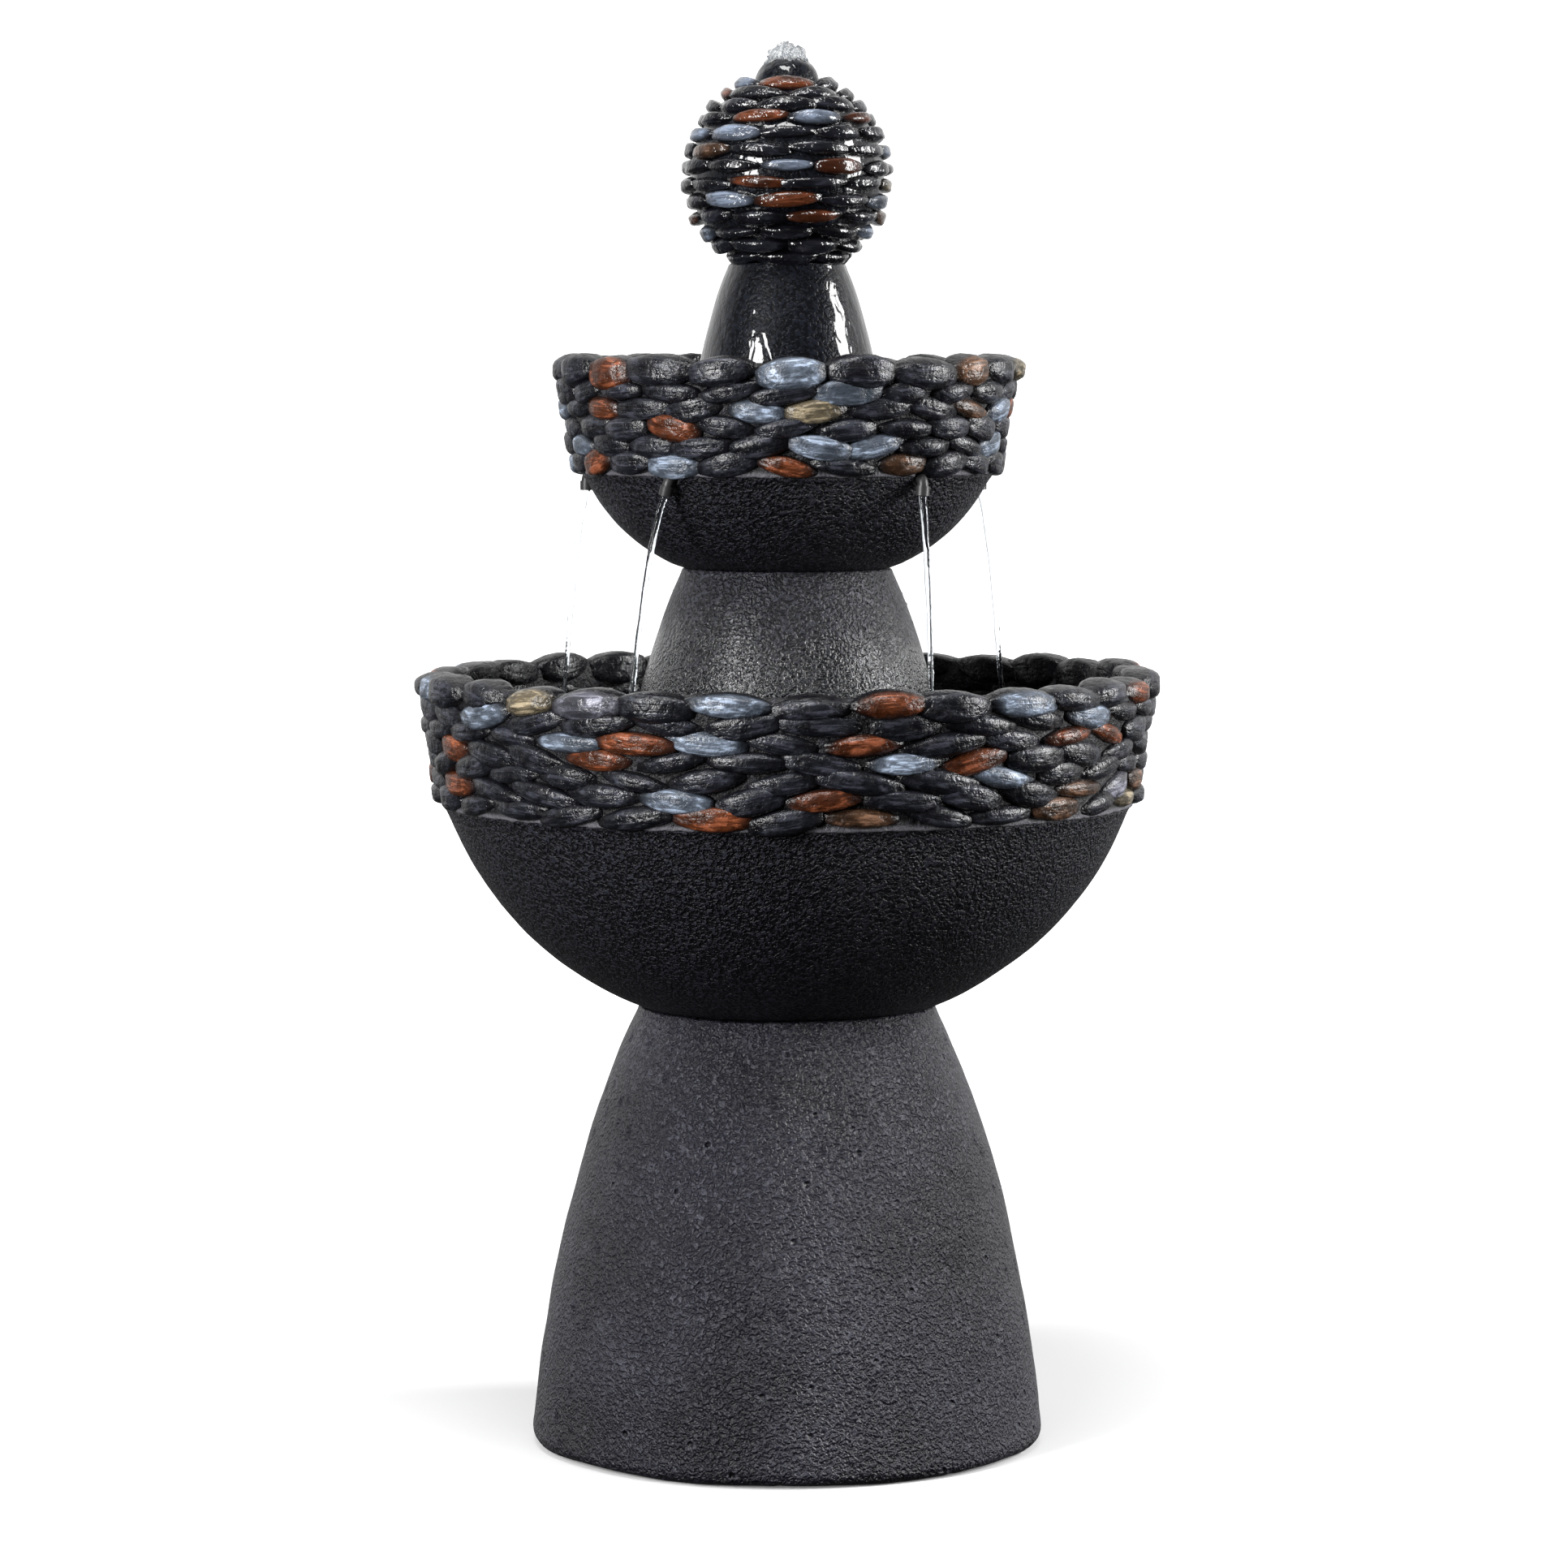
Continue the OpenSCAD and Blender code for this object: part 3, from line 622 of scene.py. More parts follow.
def lay_stone(shape, half, angle, ring_r, ring_z, lean, tilt, colour):
    """Copies a pebble and wraps the copy on a ring round the axis. Lean tips its face up from level."""
    stone = shape.copy()
    stone.data = shape.data.copy()
    bpy.context.scene.collection.objects.link(stone)
    mesh = stone.data
    grain = draw.uniform(0, 9)
    for attribute, kind in (("strokes", "FLOAT_VECTOR"), ("crest", "FLOAT"), ("tint", "FLOAT_COLOR")):
        mesh.attributes.new(attribute, kind, "POINT")
    strokes, crest, tint = [mesh.attributes[attribute] for attribute in ("strokes", "crest", "tint")]
    shade = draw.uniform(0.8, 1.15)
    for i, vertex in enumerate(mesh.vertices):
        x, y, z = vertex.co.x * half[0], vertex.co.y * half[1], vertex.co.z * half[2]
        strokes.data[i].vector = (x + grain, y, z + grain)
        crest.data[i].value = -vertex.co.y
        tint.data[i].color = (colour[0] * shade, colour[1] * shade, colour[2] * shade, 1)
        along = x * math.cos(tilt) - z * math.sin(tilt)
        up = x * math.sin(tilt) + z * math.cos(tilt)
        radius = ring_r - y * math.cos(lean) - up * math.sin(lean)
        height = ring_z - y * math.sin(lean) + up * math.cos(lean)
        turn = angle + along / ring_r
        vertex.co = (radius * math.sin(turn), -radius * math.cos(turn), height)
    return stone


def lay_course(front, count, shift, ring_r, ring_z, lean, half, wild=0.24):
    """Lays one closed course. The middle letter of front is the stone nearest to the front."""
    stones = []
    step = math.tau / count
    for i in range(count):
        place = (i + count // 2) % count - count // 2
        letter = place + len(front) // 2
        name = front[letter] if 0 <= letter < len(front) else draw.choice(MIX)
        angle = place * step + shift * step + draw.uniform(-0.06, 0.06) * step
        size = (half[0] * draw.uniform(0.88, 1.12), half[1], half[2] * draw.uniform(0.78, 1.12))
        shape = draw.choice(pebble_shapes)
        tilt = draw.uniform(-wild, wild)
        rise = draw.uniform(-0.13, 0.13) * half[2]
        depth = draw.uniform(-0.2, 0.1) * half[1]
        stones.append(lay_stone(shape, size, angle, ring_r + depth, ring_z + rise, lean, tilt, PAINTS[name]))
    return stones


def joined(stones, name):
    select_only(stones[0])
    for stone in stones:
        stone.select_set(True)
    bpy.ops.object.join()
    piece = bpy.context.object
    piece.name = name
    piece.data.name = name
    return piece


def lay_wall(fronts, count, wall, half):
    """Lays a flared wall from its ledge up, each course shifted by half a stone from the one below."""
    ledge_r, ledge_z, wall_r, wall_z = wall
    pitch = (wall_z - ledge_z - SILL) / len(fronts)
    slope = (wall_r - ledge_r) / (wall_z - ledge_z)
    stones = []
    for row, front in enumerate(fronts):
        height = ledge_z + SILL + (row + 0.5) * pitch
        radius = ledge_r + slope * (height - ledge_z) - SUNK
        stones += lay_course(front, count, (row % 2) * 0.5, radius, height, -math.atan(slope), half)
    return stones


def weathered(piece, broad, fine):
    """Dents whole stones first, and then their skin. Broad and fine are each a size and a depth."""
    uneven(piece, *broad)
    subdivided(piece, 1)
    uneven(piece, *fine)
    smooth(piece, 60)
    report(piece)
    return piece


# %% Lower courses
SILL = 0.0035           # of bare mortar under the lowest course
SUNK = 0.0005           # how deep a stone's middle sits behind the wall's face
RIM_DROP = 0.0115       # from the top of the rim stones to their middle
LOWER_COUNT = 30
lower_fronts = [
    "kkkkkkrknkknktk",      # the lowest course first
    "krkkkbkrkkkngnk",
    "kkkkkkkkkkbkkkk",
    "krkkrkkkbrkkkkk",
    "kkkkbrbkrkkrrkk",
    "kkbkkkkkkkkbkkk",
]
lower_wall = (lower_ledge_r, lower_ledge_z, lower_wall_r, lower_wall_z)
stones = lay_wall(lower_fronts, LOWER_COUNT, lower_wall, (0.0305, 0.0105, 0.0102))
stones += lay_course("bkktgkbkrkbkkrk", 31, 0.25, lower_wall_r - 0.002, lower_rim_z - RIM_DROP, 0,
                     (0.031, 0.0155, 0.0125), 0.1)
lower_stones = weathered(joined(stones, "lower_pebbles"), (0.012, 0.0022), (0.004, 0.0007))

# %% Upper courses
UPPER_COUNT = 23
upper_fronts = [
    "krkbkrknkkk",
    "bkkkkbbkkbk",
    "kkkrkkkkkkk",
    "krkkbtkknbr",
    "kkkkkkbkkkk",
]
upper_wall = (upper_ledge_r, upper_ledge_z, upper_wall_r, upper_wall_z)
stones = lay_wall(upper_fronts, UPPER_COUNT, upper_wall, (0.0255, 0.0102, 0.0105))
stones += lay_course("bkkrkkbkknkt", 21, 0.1, upper_wall_r - 0.0015, upper_rim_z - RIM_DROP, 0,
                     (0.0285, 0.0145, 0.0125), 0.1)
upper_stones = weathered(joined(stones, "upper_pebbles"), (0.012, 0.0022), (0.004, 0.0007))

# %% Courses round the ball
BALL_LOW = -54          # latitude of the lowest course
BALL_HIGH = 62
BALL_STONE = 0.043      # from one stone to the next
BALL_PROUD = 0.0012     # how far a stone's middle stands off the shell
ball_fronts = ["k", "k", "kkk", "krk", "kbrkb", "rkk", "kkbrk", "kkk", "bkk", "krbrk", "kkk", "kkk", "br"]
stones = []
for row, front in enumerate(ball_fronts):
    latitude = math.radians(BALL_LOW + (BALL_HIGH - BALL_LOW) * row / (len(ball_fronts) - 1))
    radius = (ball_r + BALL_PROUD) * math.cos(latitude)
    height = ball_mid_z + (ball_r + BALL_PROUD) * math.sin(latitude)
    count = max(5, round(math.tau * radius / BALL_STONE))
    half_length = math.pi * radius / count * 1.04
    stones += lay_course(front, count, 0.5 * (row % 2), radius, height, latitude * 0.8,
                         (half_length * 1.06, 0.0088, 0.0064), 0.07)
ball_stones = weathered(joined(stones, "ball_pebbles"), (0.01, 0.0014), (0.004, 0.0006))
for shape in pebble_shapes:
    bpy.data.objects.remove(shape)


# %% [markdown]
# ## The mortar between the stones
# Behind the courses lies a rough coat of mortar, which also covers the inside of the rim. It is turned
# like the bowls, with a lumpy surface, so the gaps between the stones are uneven and no gap shows the
# smooth wall.


# %% Mortar coats
MORTAR = 0.0025     # its thickness on the wall


def mortar_outline(ledge_r, ledge_z, wall_r, wall_z, rim_z, wall, lap):
    return [
        (ledge_r - 0.002, ledge_z),
        (ledge_r + MORTAR, ledge_z + CREASE * 0.5),
        (ledge_r + MORTAR + CREASE, ledge_z + 0.002),
        (ledge_r + MORTAR, ledge_z + 0.005),
        *bowed((ledge_r + MORTAR, ledge_z + 0.012), (wall_r + MORTAR, wall_z), 0, 8),
        (wall_r + MORTAR, wall_z),
        (wall_r + MORTAR * 0.6, rim_z - 0.006),
        (wall_r - wall * 0.5, rim_z - 0.0045),
        (wall_r - wall - 0.003, rim_z - 0.006),
        (wall_r - wall - 0.0045, wall_z),
        (wall_r - wall - 0.0035, wall_z - lap * 0.6),
        (wall_r - wall - 0.001, wall_z - lap),
        (wall_r - wall + 0.003, wall_z - lap),
        (wall_r - wall + 0.003, wall_z - 0.001),
        (wall_r - 0.003, wall_z - 0.001),
    ]


lower_mortar = turned("lower_mortar", mortar_outline(*lower_wall, lower_rim_z, LOWER_WALL, 0.012), steps=144)
subdivided(lower_mortar, 2)
uneven(lower_mortar, 0.009, 0.0022)
smooth(lower_mortar, 60)
report(lower_mortar)
upper_mortar = turned("upper_mortar", mortar_outline(*upper_wall, upper_rim_z, UPPER_WALL, 0.012), steps=96)
subdivided(upper_mortar, 2)
uneven(upper_mortar, 0.009, 0.0022)
drilled_for_nozzles(upper_mortar, GROMMET_R + 0.0003, 0.03)
smooth(upper_mortar, 60)
report(upper_mortar)

# %% [markdown]
# ## The ball and the spout
# The ball is a hollow shell under its courses, with a collar that hides the joint to the neck. The spout
# is a small smooth dome with the water outlet in its middle.

# %% Ball shell
BALL_WALL = 0.006
collar_r = neck_top_r - 0.004
seat_r = neck_top_r - SEAT_IN + PLAY / 2
COLLAR_H = 0.014


def sphere_arc(radius, low, high, steps):
    """Points on the ball from one latitude to another, in degrees."""
    arc = []
    for i in range(steps + 1):
        latitude = math.radians(low + (high - low) * i / steps)
        arc.append((radius * math.cos(latitude), ball_mid_z + radius * math.sin(latitude)))
    return arc


lining_r = ball_r - BALL_WALL
top_out = math.degrees(math.acos(SPIGOT_R / ball_r))
top_in = math.degrees(math.acos(SPIGOT_R / lining_r))
ball_outline = [
    (seat_r + 0.001, ball_z),
    (collar_r - 0.001, ball_z),
    (collar_r, ball_z + 0.001),
    *sphere_arc(ball_r + 0.0015, -52, top_out - 1, 16),
    (SPIGOT_R, ball_mid_z + ball_r * math.sin(math.radians(top_out))),
    (SPIGOT_R, ball_mid_z + lining_r * math.sin(math.radians(top_in))),
    *sphere_arc(lining_r, top_in - 4, -56, 12),
    (seat_r, ball_z + COLLAR_H * 0.6),
    (seat_r, ball_z + 0.001),
]
ball = turned("ball_cast", ball_outline, steps=72)
subdivided(ball, 1)
uneven(ball, 0.008, 0.0018)
smooth(ball, 60)
report(ball)

# %% Spout dome
DOME_FOOT_R = 0.025
SPOUT_BORE_R = 0.005
dome_foot_z = ball_mid_z + ball_r - 0.007
dome_outline = [
    (SPOUT_BORE_R, dome_foot_z + 0.004),
    (DOME_FOOT_R - 0.004, dome_foot_z),
    (DOME_FOOT_R, dome_foot_z + 0.001),
    *bowed((DOME_FOOT_R - 0.0005, dome_foot_z + 0.004), (SPOUT_BORE_R + 0.004, spout_z), 0.004, 6),
    (SPOUT_BORE_R + 0.005, spout_z - 0.001),
    (SPOUT_BORE_R + 0.003, spout_z),
    (SPOUT_BORE_R + 0.001, spout_z - 0.0005),
    (SPOUT_BORE_R, spout_z - 0.002),
]
dome = turned("spout_dome_cast", dome_outline, steps=36)
subdivided(dome, 2)
uneven(dome, 0.009, 0.001)
smooth(dome)
report(dome)

# %% [markdown]
# ## Water
# The jets leave the nozzles, lean outwards and fall in a parabola, and they thin out as they gain speed.
# Each one is a curve through a few points of that parabola, with a round section, which is then made a
# mesh and rippled. Still water fills both bowls: it is turned from the bowl's own inside, and waves run
# out from where the jets land.

# %% Jets
JET_SPEED = 0.5
JET_SLIP = 0.136        # speed outwards that the bend gives the water
GRAVITY = 9.81
JET_R = 0.003
LOWER_WATER_Z = 0.535
UPPER_WATER_Z = 0.772
JET_START = 0.006       # seconds inside the sleeve before the mouth
JET_POINTS = 26
SWING = (16, 5, 0, 0, 0)    # how far each elbow is turned at rest, in degrees
NOZZLE_OUT = upper_ledge_r + 0.0045
LEG = 0.012             # from the tube's axis to the mouth of the sleeve


def jet_point(i, seconds):
    """Where the water of jet i is after some seconds."""
    out = outward(NOZZLE_TURN + i * NOZZLE_STEP)
    side = Vector((out.y, -out.x, 0))
    swing = math.radians(SWING[i])
    leg = side * math.sin(swing) - Vector((0, 0, math.cos(swing)))
    mouth = out * NOZZLE_OUT + Vector((0, 0, nozzle_z)) + leg * LEG
    return mouth + (leg * JET_SPEED + out * JET_SLIP) * seconds - Vector((0, 0, GRAVITY / 2 * seconds ** 2))


def jet_time(i):
    """When jet i meets the water in the lower bowl."""
    seconds = 0
    while jet_point(i, seconds).z > LOWER_WATER_Z - 0.002:
        seconds += 0.0005
    return seconds


jets = []
landings = []
for i in range(NOZZLES):
    bpy.ops.object.select_all(action="DESELECT")
    bpy.ops.curve.primitive_nurbs_path_add()
    jet = bpy.context.object
    jet.name = f"jet_{i + 1}"
    line = jet.data
    line.splines.clear()
    fall = jet_time(i)
    landings.append(jet_point(i, fall))
    spline = line.splines.new("POLY")
    spline.points.add(JET_POINTS - 1)
    for k in range(JET_POINTS):
        seconds = -JET_START + (fall + JET_START) * k / (JET_POINTS - 1)
        place = jet_point(i, seconds)
        speed = JET_SPEED + GRAVITY * max(seconds, 0)
        swell = 1 + 0.1 * math.sin(k * 1.9 + i) * k / JET_POINTS
        spline.points[k].co = (*place, 1)
        spline.points[k].radius = (JET_SPEED / speed) ** 0.33 * swell
    line.dimensions = "3D"
    line.bevel_depth = JET_R
    line.bevel_resolution = 3
    line.use_fill_caps = True
    select_only(jet)
    bpy.ops.object.convert(target="MESH")
    jet = bpy.context.object
    pick_vertices(jet, lambda co: True)
    bpy.ops.mesh.remove_doubles(threshold=0.00001)
    bpy.ops.mesh.normals_make_consistent(inside=False)
    leave_edit()
    subdivided(jet, 1)
    uneven(jet, 0.012, 0.0012)
    smooth(jet, 80)
    jets.append(jet)
print("jets land", [round(math.hypot(p.x, p.y), 3) for p in landings], "from the axis")


# %% Water in the bowls
def pond(name, floor_z, flare, foot_r, foot_z, bow, wall, level, steps):
    """Water that fills a bowl up to a level, a hair inside the bowl's own surface."""
    ledge_r, ledge_z, wall_r, wall_z = flare
    gap = 0.0006
    inside = bowed((foot_r, foot_z), (ledge_r, ledge_z), bow, 14)
    inside = [p + Vector((-wall - gap, wall * 0.6)) for p in inside]
    slope = (wall_r - ledge_r) / (wall_z - ledge_z)
    shore_r = ledge_r - wall - gap + slope * (level - ledge_z)
    bank = [p for p in inside if floor_z + 0.004 < p.y < min(level, ledge_z) - 0.006]
    rings = round(shore_r / 0.0045)
    outline = [
        (0, floor_z + gap),
        (bank[0].x - 0.008, floor_z + gap),
        *bank,
        (ledge_r - wall - gap, ledge_z),
        *[(shore_r * (1 - k / rings), level) for k in range(rings + 1)],
    ]
    return turned(name, outline, steps=steps, closed=False)


def waves(piece, level, centres, height, length, reach):
    """Lifts the water's surface in rings round each centre, which die out with distance."""
    for vertex in piece.data.vertices:
        if vertex.co.z < level - 0.001:
            continue
        lift = 0
        for centre, radius in centres:
            distance = abs(math.hypot(vertex.co.x - centre.x, vertex.co.y - centre.y) - radius)
            lift += math.cos(distance * math.tau / length) * math.exp(-distance / reach)
        vertex.co.z += height * lift


lower_water = pond("lower_water", lower_floor_z, lower_wall, base_top_r, base_z, LOWER_BOW, LOWER_WALL,
                   LOWER_WATER_Z, 180)
waves(lower_water, LOWER_WATER_Z, [(p, 0) for p in landings], 0.0022, 0.016, 0.03)
uneven(lower_water, 0.03, 0.0016)
smooth(lower_water, 60)
report(lower_water)
upper_water = pond("upper_water", upper_floor_z, upper_wall, mid_top_r, upper_z, UPPER_BOW, UPPER_WALL,
                   UPPER_WATER_Z, 120)
waves(upper_water, UPPER_WATER_Z, [(Vector((0, 0, 0)), neck_foot_r)], 0.0016, 0.013, 0.03)
uneven(upper_water, 0.02, 0.0018)
smooth(upper_water, 60)
report(upper_water)

# %% Gush over the spout
GUSH_TOP = spout_z + 0.009
gush_outline = [
    (0, spout_z - 0.0125),
    (0.0125, spout_z - 0.0135),
    (0.0165, spout_z - 0.0115),
    (0.0158, spout_z - 0.006),
    (0.0140, spout_z),
    (0.0112, spout_z + 0.0045),
    (0.0072, GUSH_TOP - 0.001),
    (0.0035, GUSH_TOP),
    (0, GUSH_TOP - 0.0005),
]
gush = turned("gush", gush_outline, steps=28, closed=False)
subdivided(gush, 2)
uneven(gush, 0.006, 0.009)
uneven(gush, 0.0022, 0.0035)
smooth(gush, 70)
report(gush)


# %% Drops on the water and round the landings
def scattered_drops(name, count, place_of, smallest, largest):
    """Small flattened drops, each a ball of 20 faces, at places that a function draws."""
    bpy.ops.object.select_all(action="DESELECT")
    bpy.ops.mesh.primitive_ico_sphere_add(subdivisions=1, radius=1)
    shape = bpy.context.object
    drops = []
    for _ in range(count):
        place, normal = place_of()
        size = draw.uniform(smallest, largest)
        drop = shape.copy()
        drop.data = shape.data.copy()
        bpy.context.scene.collection.objects.link(drop)
        turn = normal.to_track_quat("Z", "Y").to_matrix().to_4x4()
        squash = Matrix.Diagonal((size, size * draw.uniform(0.8, 1.2), size * draw.uniform(0.5, 0.8), 1))
        drop.data.transform(Matrix.Translation(place) @ turn @ squash)
        drops.append(drop)
    bpy.data.objects.remove(shape)
    return smooth(joined(drops, name), 80)


def near_landing():
    centre = draw.choice(landings)
    away = Vector((draw.gauss(0, 0.012), draw.gauss(0, 0.012), 0))
    height = LOWER_WATER_Z + 0.001 + abs(draw.gauss(0, 0.012)) * math.exp(-away.length / 0.02)
    return Vector((centre.x, centre.y, height)) + away, Vector((0, 0, 1))


splashes = scattered_drops("splash_drops", 110, near_landing, 0.0007, 0.0019)


def on_middle_pedestal():
    height = lower_floor_z + 0.19 + 0.11 * draw.random() ** 1.6
    turn = draw.uniform(0, math.tau)
    share = (height - lower_floor_z) / (upper_z - lower_floor_z)
    radius = mid_foot_r + (mid_top_r - mid_foot_r) * share + MID_BOW * 4 * share * (1 - share) - 0.0005
    way = outward(math.degrees(turn))
    return way * radius + Vector((0, 0, height)), (way + Vector((0, 0, 0.3))).normalized()


pedestal_drops = scattered_drops("pedestal_drops", 420, on_middle_pedestal, 0.0006, 0.0016)
report(pedestal_drops)

# %% [markdown]
# ## Finishes
# Each finish is one Principled shader fed by a few noises. The little functions below name what the nodes
# do, so a finish reads like a recipe: where the pattern lies, which noises, which colours and how much
# relief. Everything is on object coordinates in metres, so a scale of 400 makes a grain of about two and
# a half millimetres.


# %% Node helpers
def new_finish(name, **sockets):
    finish = bpy.data.materials.new(name)
    finish.use_nodes = True
    shader = finish.node_tree.nodes["Principled BSDF"]
    for socket, value in sockets.items():
        shader.inputs[socket.replace("_", " ")].default_value = value
    return finish, shader


def add_node(finish, kind, inputs, **settings):
    """Adds a node, sets what it is told, and links or fills its inputs by name or number."""
    node = finish.node_tree.nodes.new(kind)
    for setting, value in settings.items():
        setattr(node, setting, value)
    for key, value in inputs.items():
        if isinstance(value, bpy.types.NodeSocket):
            finish.node_tree.links.new(value, node.inputs[key])
        else:
            node.inputs[key].default_value = value
    return node


def where(finish, stretch=(1, 1, 1), attribute=None):
    """Where a pattern lies: on the object's own coordinates, or on a named attribute, stretched per axis."""
    if attribute:
        source = add_node(finish, "ShaderNodeAttribute", {}, attribute_name=attribute).outputs["Vector"]
    else:
        source = add_node(finish, "ShaderNodeTexCoord", {}).outputs["Object"]
    return add_node(finish, "ShaderNodeMapping", {"Vector": source, "Scale": stretch}).outputs["Vector"]


def noise(finish, place, scale, detail=2.0, rough=0.5, twist=0.0):
    inputs = {"Vector": place, "Scale": scale, "Detail": detail, "Roughness": rough, "Distortion": twist}
    return add_node(finish, "ShaderNodeTexNoise", inputs).outputs["Fac"]


def cells(finish, place, scale):
    return add_node(finish, "ShaderNodeTexVoronoi", {"Vector": place, "Scale": scale}).outputs["Distance"]


def levels(finish, value, low, high, to_low=0.0, to_high=1.0):
    """Stretches the part of a value between low and high over a new range."""
    inputs = {0: value, 1: low, 2: high, 3: to_low, 4: to_high}
    return add_node(finish, "ShaderNodeMapRange", inputs, interpolation_type="SMOOTHSTEP").outputs[0]


def mixed(finish, share, first, second, how="MIX"):
    inputs = {0: share, 6: first, 7: second}
    return add_node(finish, "ShaderNodeMix", inputs, data_type="RGBA", blend_type=how).outputs[2]


def math_of(finish, what, first, second):
    return add_node(finish, "ShaderNodeMath", {0: first, 1: second}, operation=what).outputs[0]


def relief(finish, shader, heights, socket="Normal"):
    """Stacks bumps, each a height from 0 to 1 with the depth in metres that it stands for."""
    normal = None
    for height, depth in heights:
        inputs = {"Height": height, "Distance": depth, "Strength": 1.0}
        if normal is not None:
            inputs["Normal"] = normal
        normal = add_node(finish, "ShaderNodeBump", inputs).outputs["Normal"]
    finish.node_tree.links.new(normal, shader.inputs[socket])


def feed(finish, shader, socket, value):
    finish.node_tree.links.new(value, shader.inputs[socket])


# %% [markdown]
# ### Cast stone
# The dry casting is charcoal with a hint of violet. Its skin is a fine orange peel that the mould gave
# it, and a pale paint was wiped over. The tops of the grain are painted lighter than the hollows, partly
# that pale paint and partly a painted highlight on the grain.


# %% Cast stone, dry
def stone_skin(finish):
    """The grain of the casting, from hollow 0 to top 1."""
    place = where(finish)
    wrinkles = levels(finish, noise(finish, place, 330, 1.0, 0.5, 0.6), 0.3, 0.7)
    grit = noise(finish, place, 850, 2.0)
    wrinkles = math_of(finish, "MULTIPLY", wrinkles, 0.6)
    return place, math_of(finish, "ADD", wrinkles, math_of(finish, "MULTIPLY", grit, 0.4))


cast_stone, shader = new_finish("cast_stone", Roughness=0.36, Specular_IOR_Level=0.5)
place, grain = stone_skin(cast_stone)
blotch = noise(cast_stone, place, 9, 4.0)
# The grain tops are painted lighter: partly the pale paint, partly a painted highlight on the grain.
tops = levels(cast_stone, grain, 0.5, 0.75)
pale = math_of(cast_stone, "MULTIPLY", tops, levels(cast_stone, blotch, 0.35, 0.65, 0.2, 0.9))
body = mixed(cast_stone, levels(cast_stone, blotch, 0.3, 0.7), paint(24, 23, 30), paint(38, 37, 47))
skin = mixed(cast_stone, pale, body, paint(64, 63, 75))
# Painted shade and highlight: the middles of the dents are painted near black, and their rims lighter.
pits = cells(cast_stone, place, 42)
dimples = levels(cast_stone, pits, 0.03, 0.13)
rims = math_of(cast_stone, "MULTIPLY", levels(cast_stone, pits, 0.08, 0.13, 0.0, 0.35),
               levels(cast_stone, pits, 0.14, 0.2, 1.0, 0.0))
skin = mixed(cast_stone, levels(cast_stone, pits, 0.0, 0.1, 0.7, 0.0), skin, paint(14, 14, 18))
# Painted highlight on the rims of the dents.
feed(cast_stone, shader, "Base Color", mixed(cast_stone, rims, skin, paint(96, 96, 108)))
relief(cast_stone, shader, [(grain, 0.0024), (dimples, 0.003)])

# %% Cast stone of the bowls, nearly black below, a darker copy as painted shade
shaded_under_stone, shader = new_finish("shaded_under_stone", Roughness=0.42, Specular_IOR_Level=0.3)
place, grain = stone_skin(shaded_under_stone)
# A darker copy of the cast stone stands in for the shade on the bowls' undersides; the grain tops are painted
# lighter, partly pale paint and partly painted highlight.
tops = levels(shaded_under_stone, grain, 0.52, 0.72)
feed(shaded_under_stone, shader, "Base Color", mixed(shaded_under_stone, tops, paint(15, 15, 20), paint(46, 46, 56)))
relief(shaded_under_stone, shader, [(grain, 0.0024)])

# %% Cast stone that water runs over
wet_stone, shader = new_finish("wet_stone", Roughness=0.3, Specular_IOR_Level=0.1,
                               Coat_Weight=1.0, Coat_Roughness=0.02)
place, grain = stone_skin(wet_stone)
# The grain tops are painted lighter, partly pale paint and partly a painted highlight on the grain.
tops = levels(wet_stone, grain, 0.4, 0.7)
feed(wet_stone, shader, "Base Color", mixed(wet_stone, tops, paint(9, 10, 14), paint(22, 24, 32)))
relief(wet_stone, shader, [(grain, 0.0005)])
film = noise(wet_stone, where(wet_stone, (1, 1, 0.35)), 130, 1.0, 0.5, 0.6)
drips = noise(wet_stone, where(wet_stone, (1, 1, 0.6)), 330, 2.0)
relief(wet_stone, shader, [(film, 0.0007), (drips, 0.0001)], "Coat Normal")

# %% Middle pedestal, wet from the splashes in its lower half
splashed_stone, shader = new_finish("splashed_stone", Specular_IOR_Level=0.35, Coat_Roughness=0.08)
place, grain = stone_skin(splashed_stone)
height = add_node(splashed_stone, "ShaderNodeSeparateXYZ", {0: where(splashed_stone)}).outputs[2]
ragged = noise(splashed_stone, place, 22, 4.0)
edge = math_of(splashed_stone, "ADD", height, math_of(splashed_stone, "MULTIPLY", ragged, -0.09))
wet = levels(splashed_stone, edge, 0.53, 0.6, 1.0, 0.0)
# The grain tops are painted lighter in both coats, partly pale paint and partly a painted highlight on the
# grain.
tops = levels(splashed_stone, grain, 0.52, 0.7)
dry_coat = mixed(splashed_stone, tops, paint(23, 23, 29), paint(56, 56, 66))
wet_coat = mixed(splashed_stone, tops, paint(11, 11, 15), paint(32, 33, 40))
feed(splashed_stone, shader, "Base Color", mixed(splashed_stone, wet, dry_coat, wet_coat))
feed(splashed_stone, shader, "Roughness", levels(splashed_stone, wet, 0.0, 1.0, 0.5, 0.2))
relief(splashed_stone, shader, [(grain, 0.0024)])
feed(splashed_stone, shader, "Coat Weight", levels(splashed_stone, wet, 0.0, 1.0, 0.2, 0.9))
relief(splashed_stone, shader, [(grain, 0.0009)], "Coat Normal")
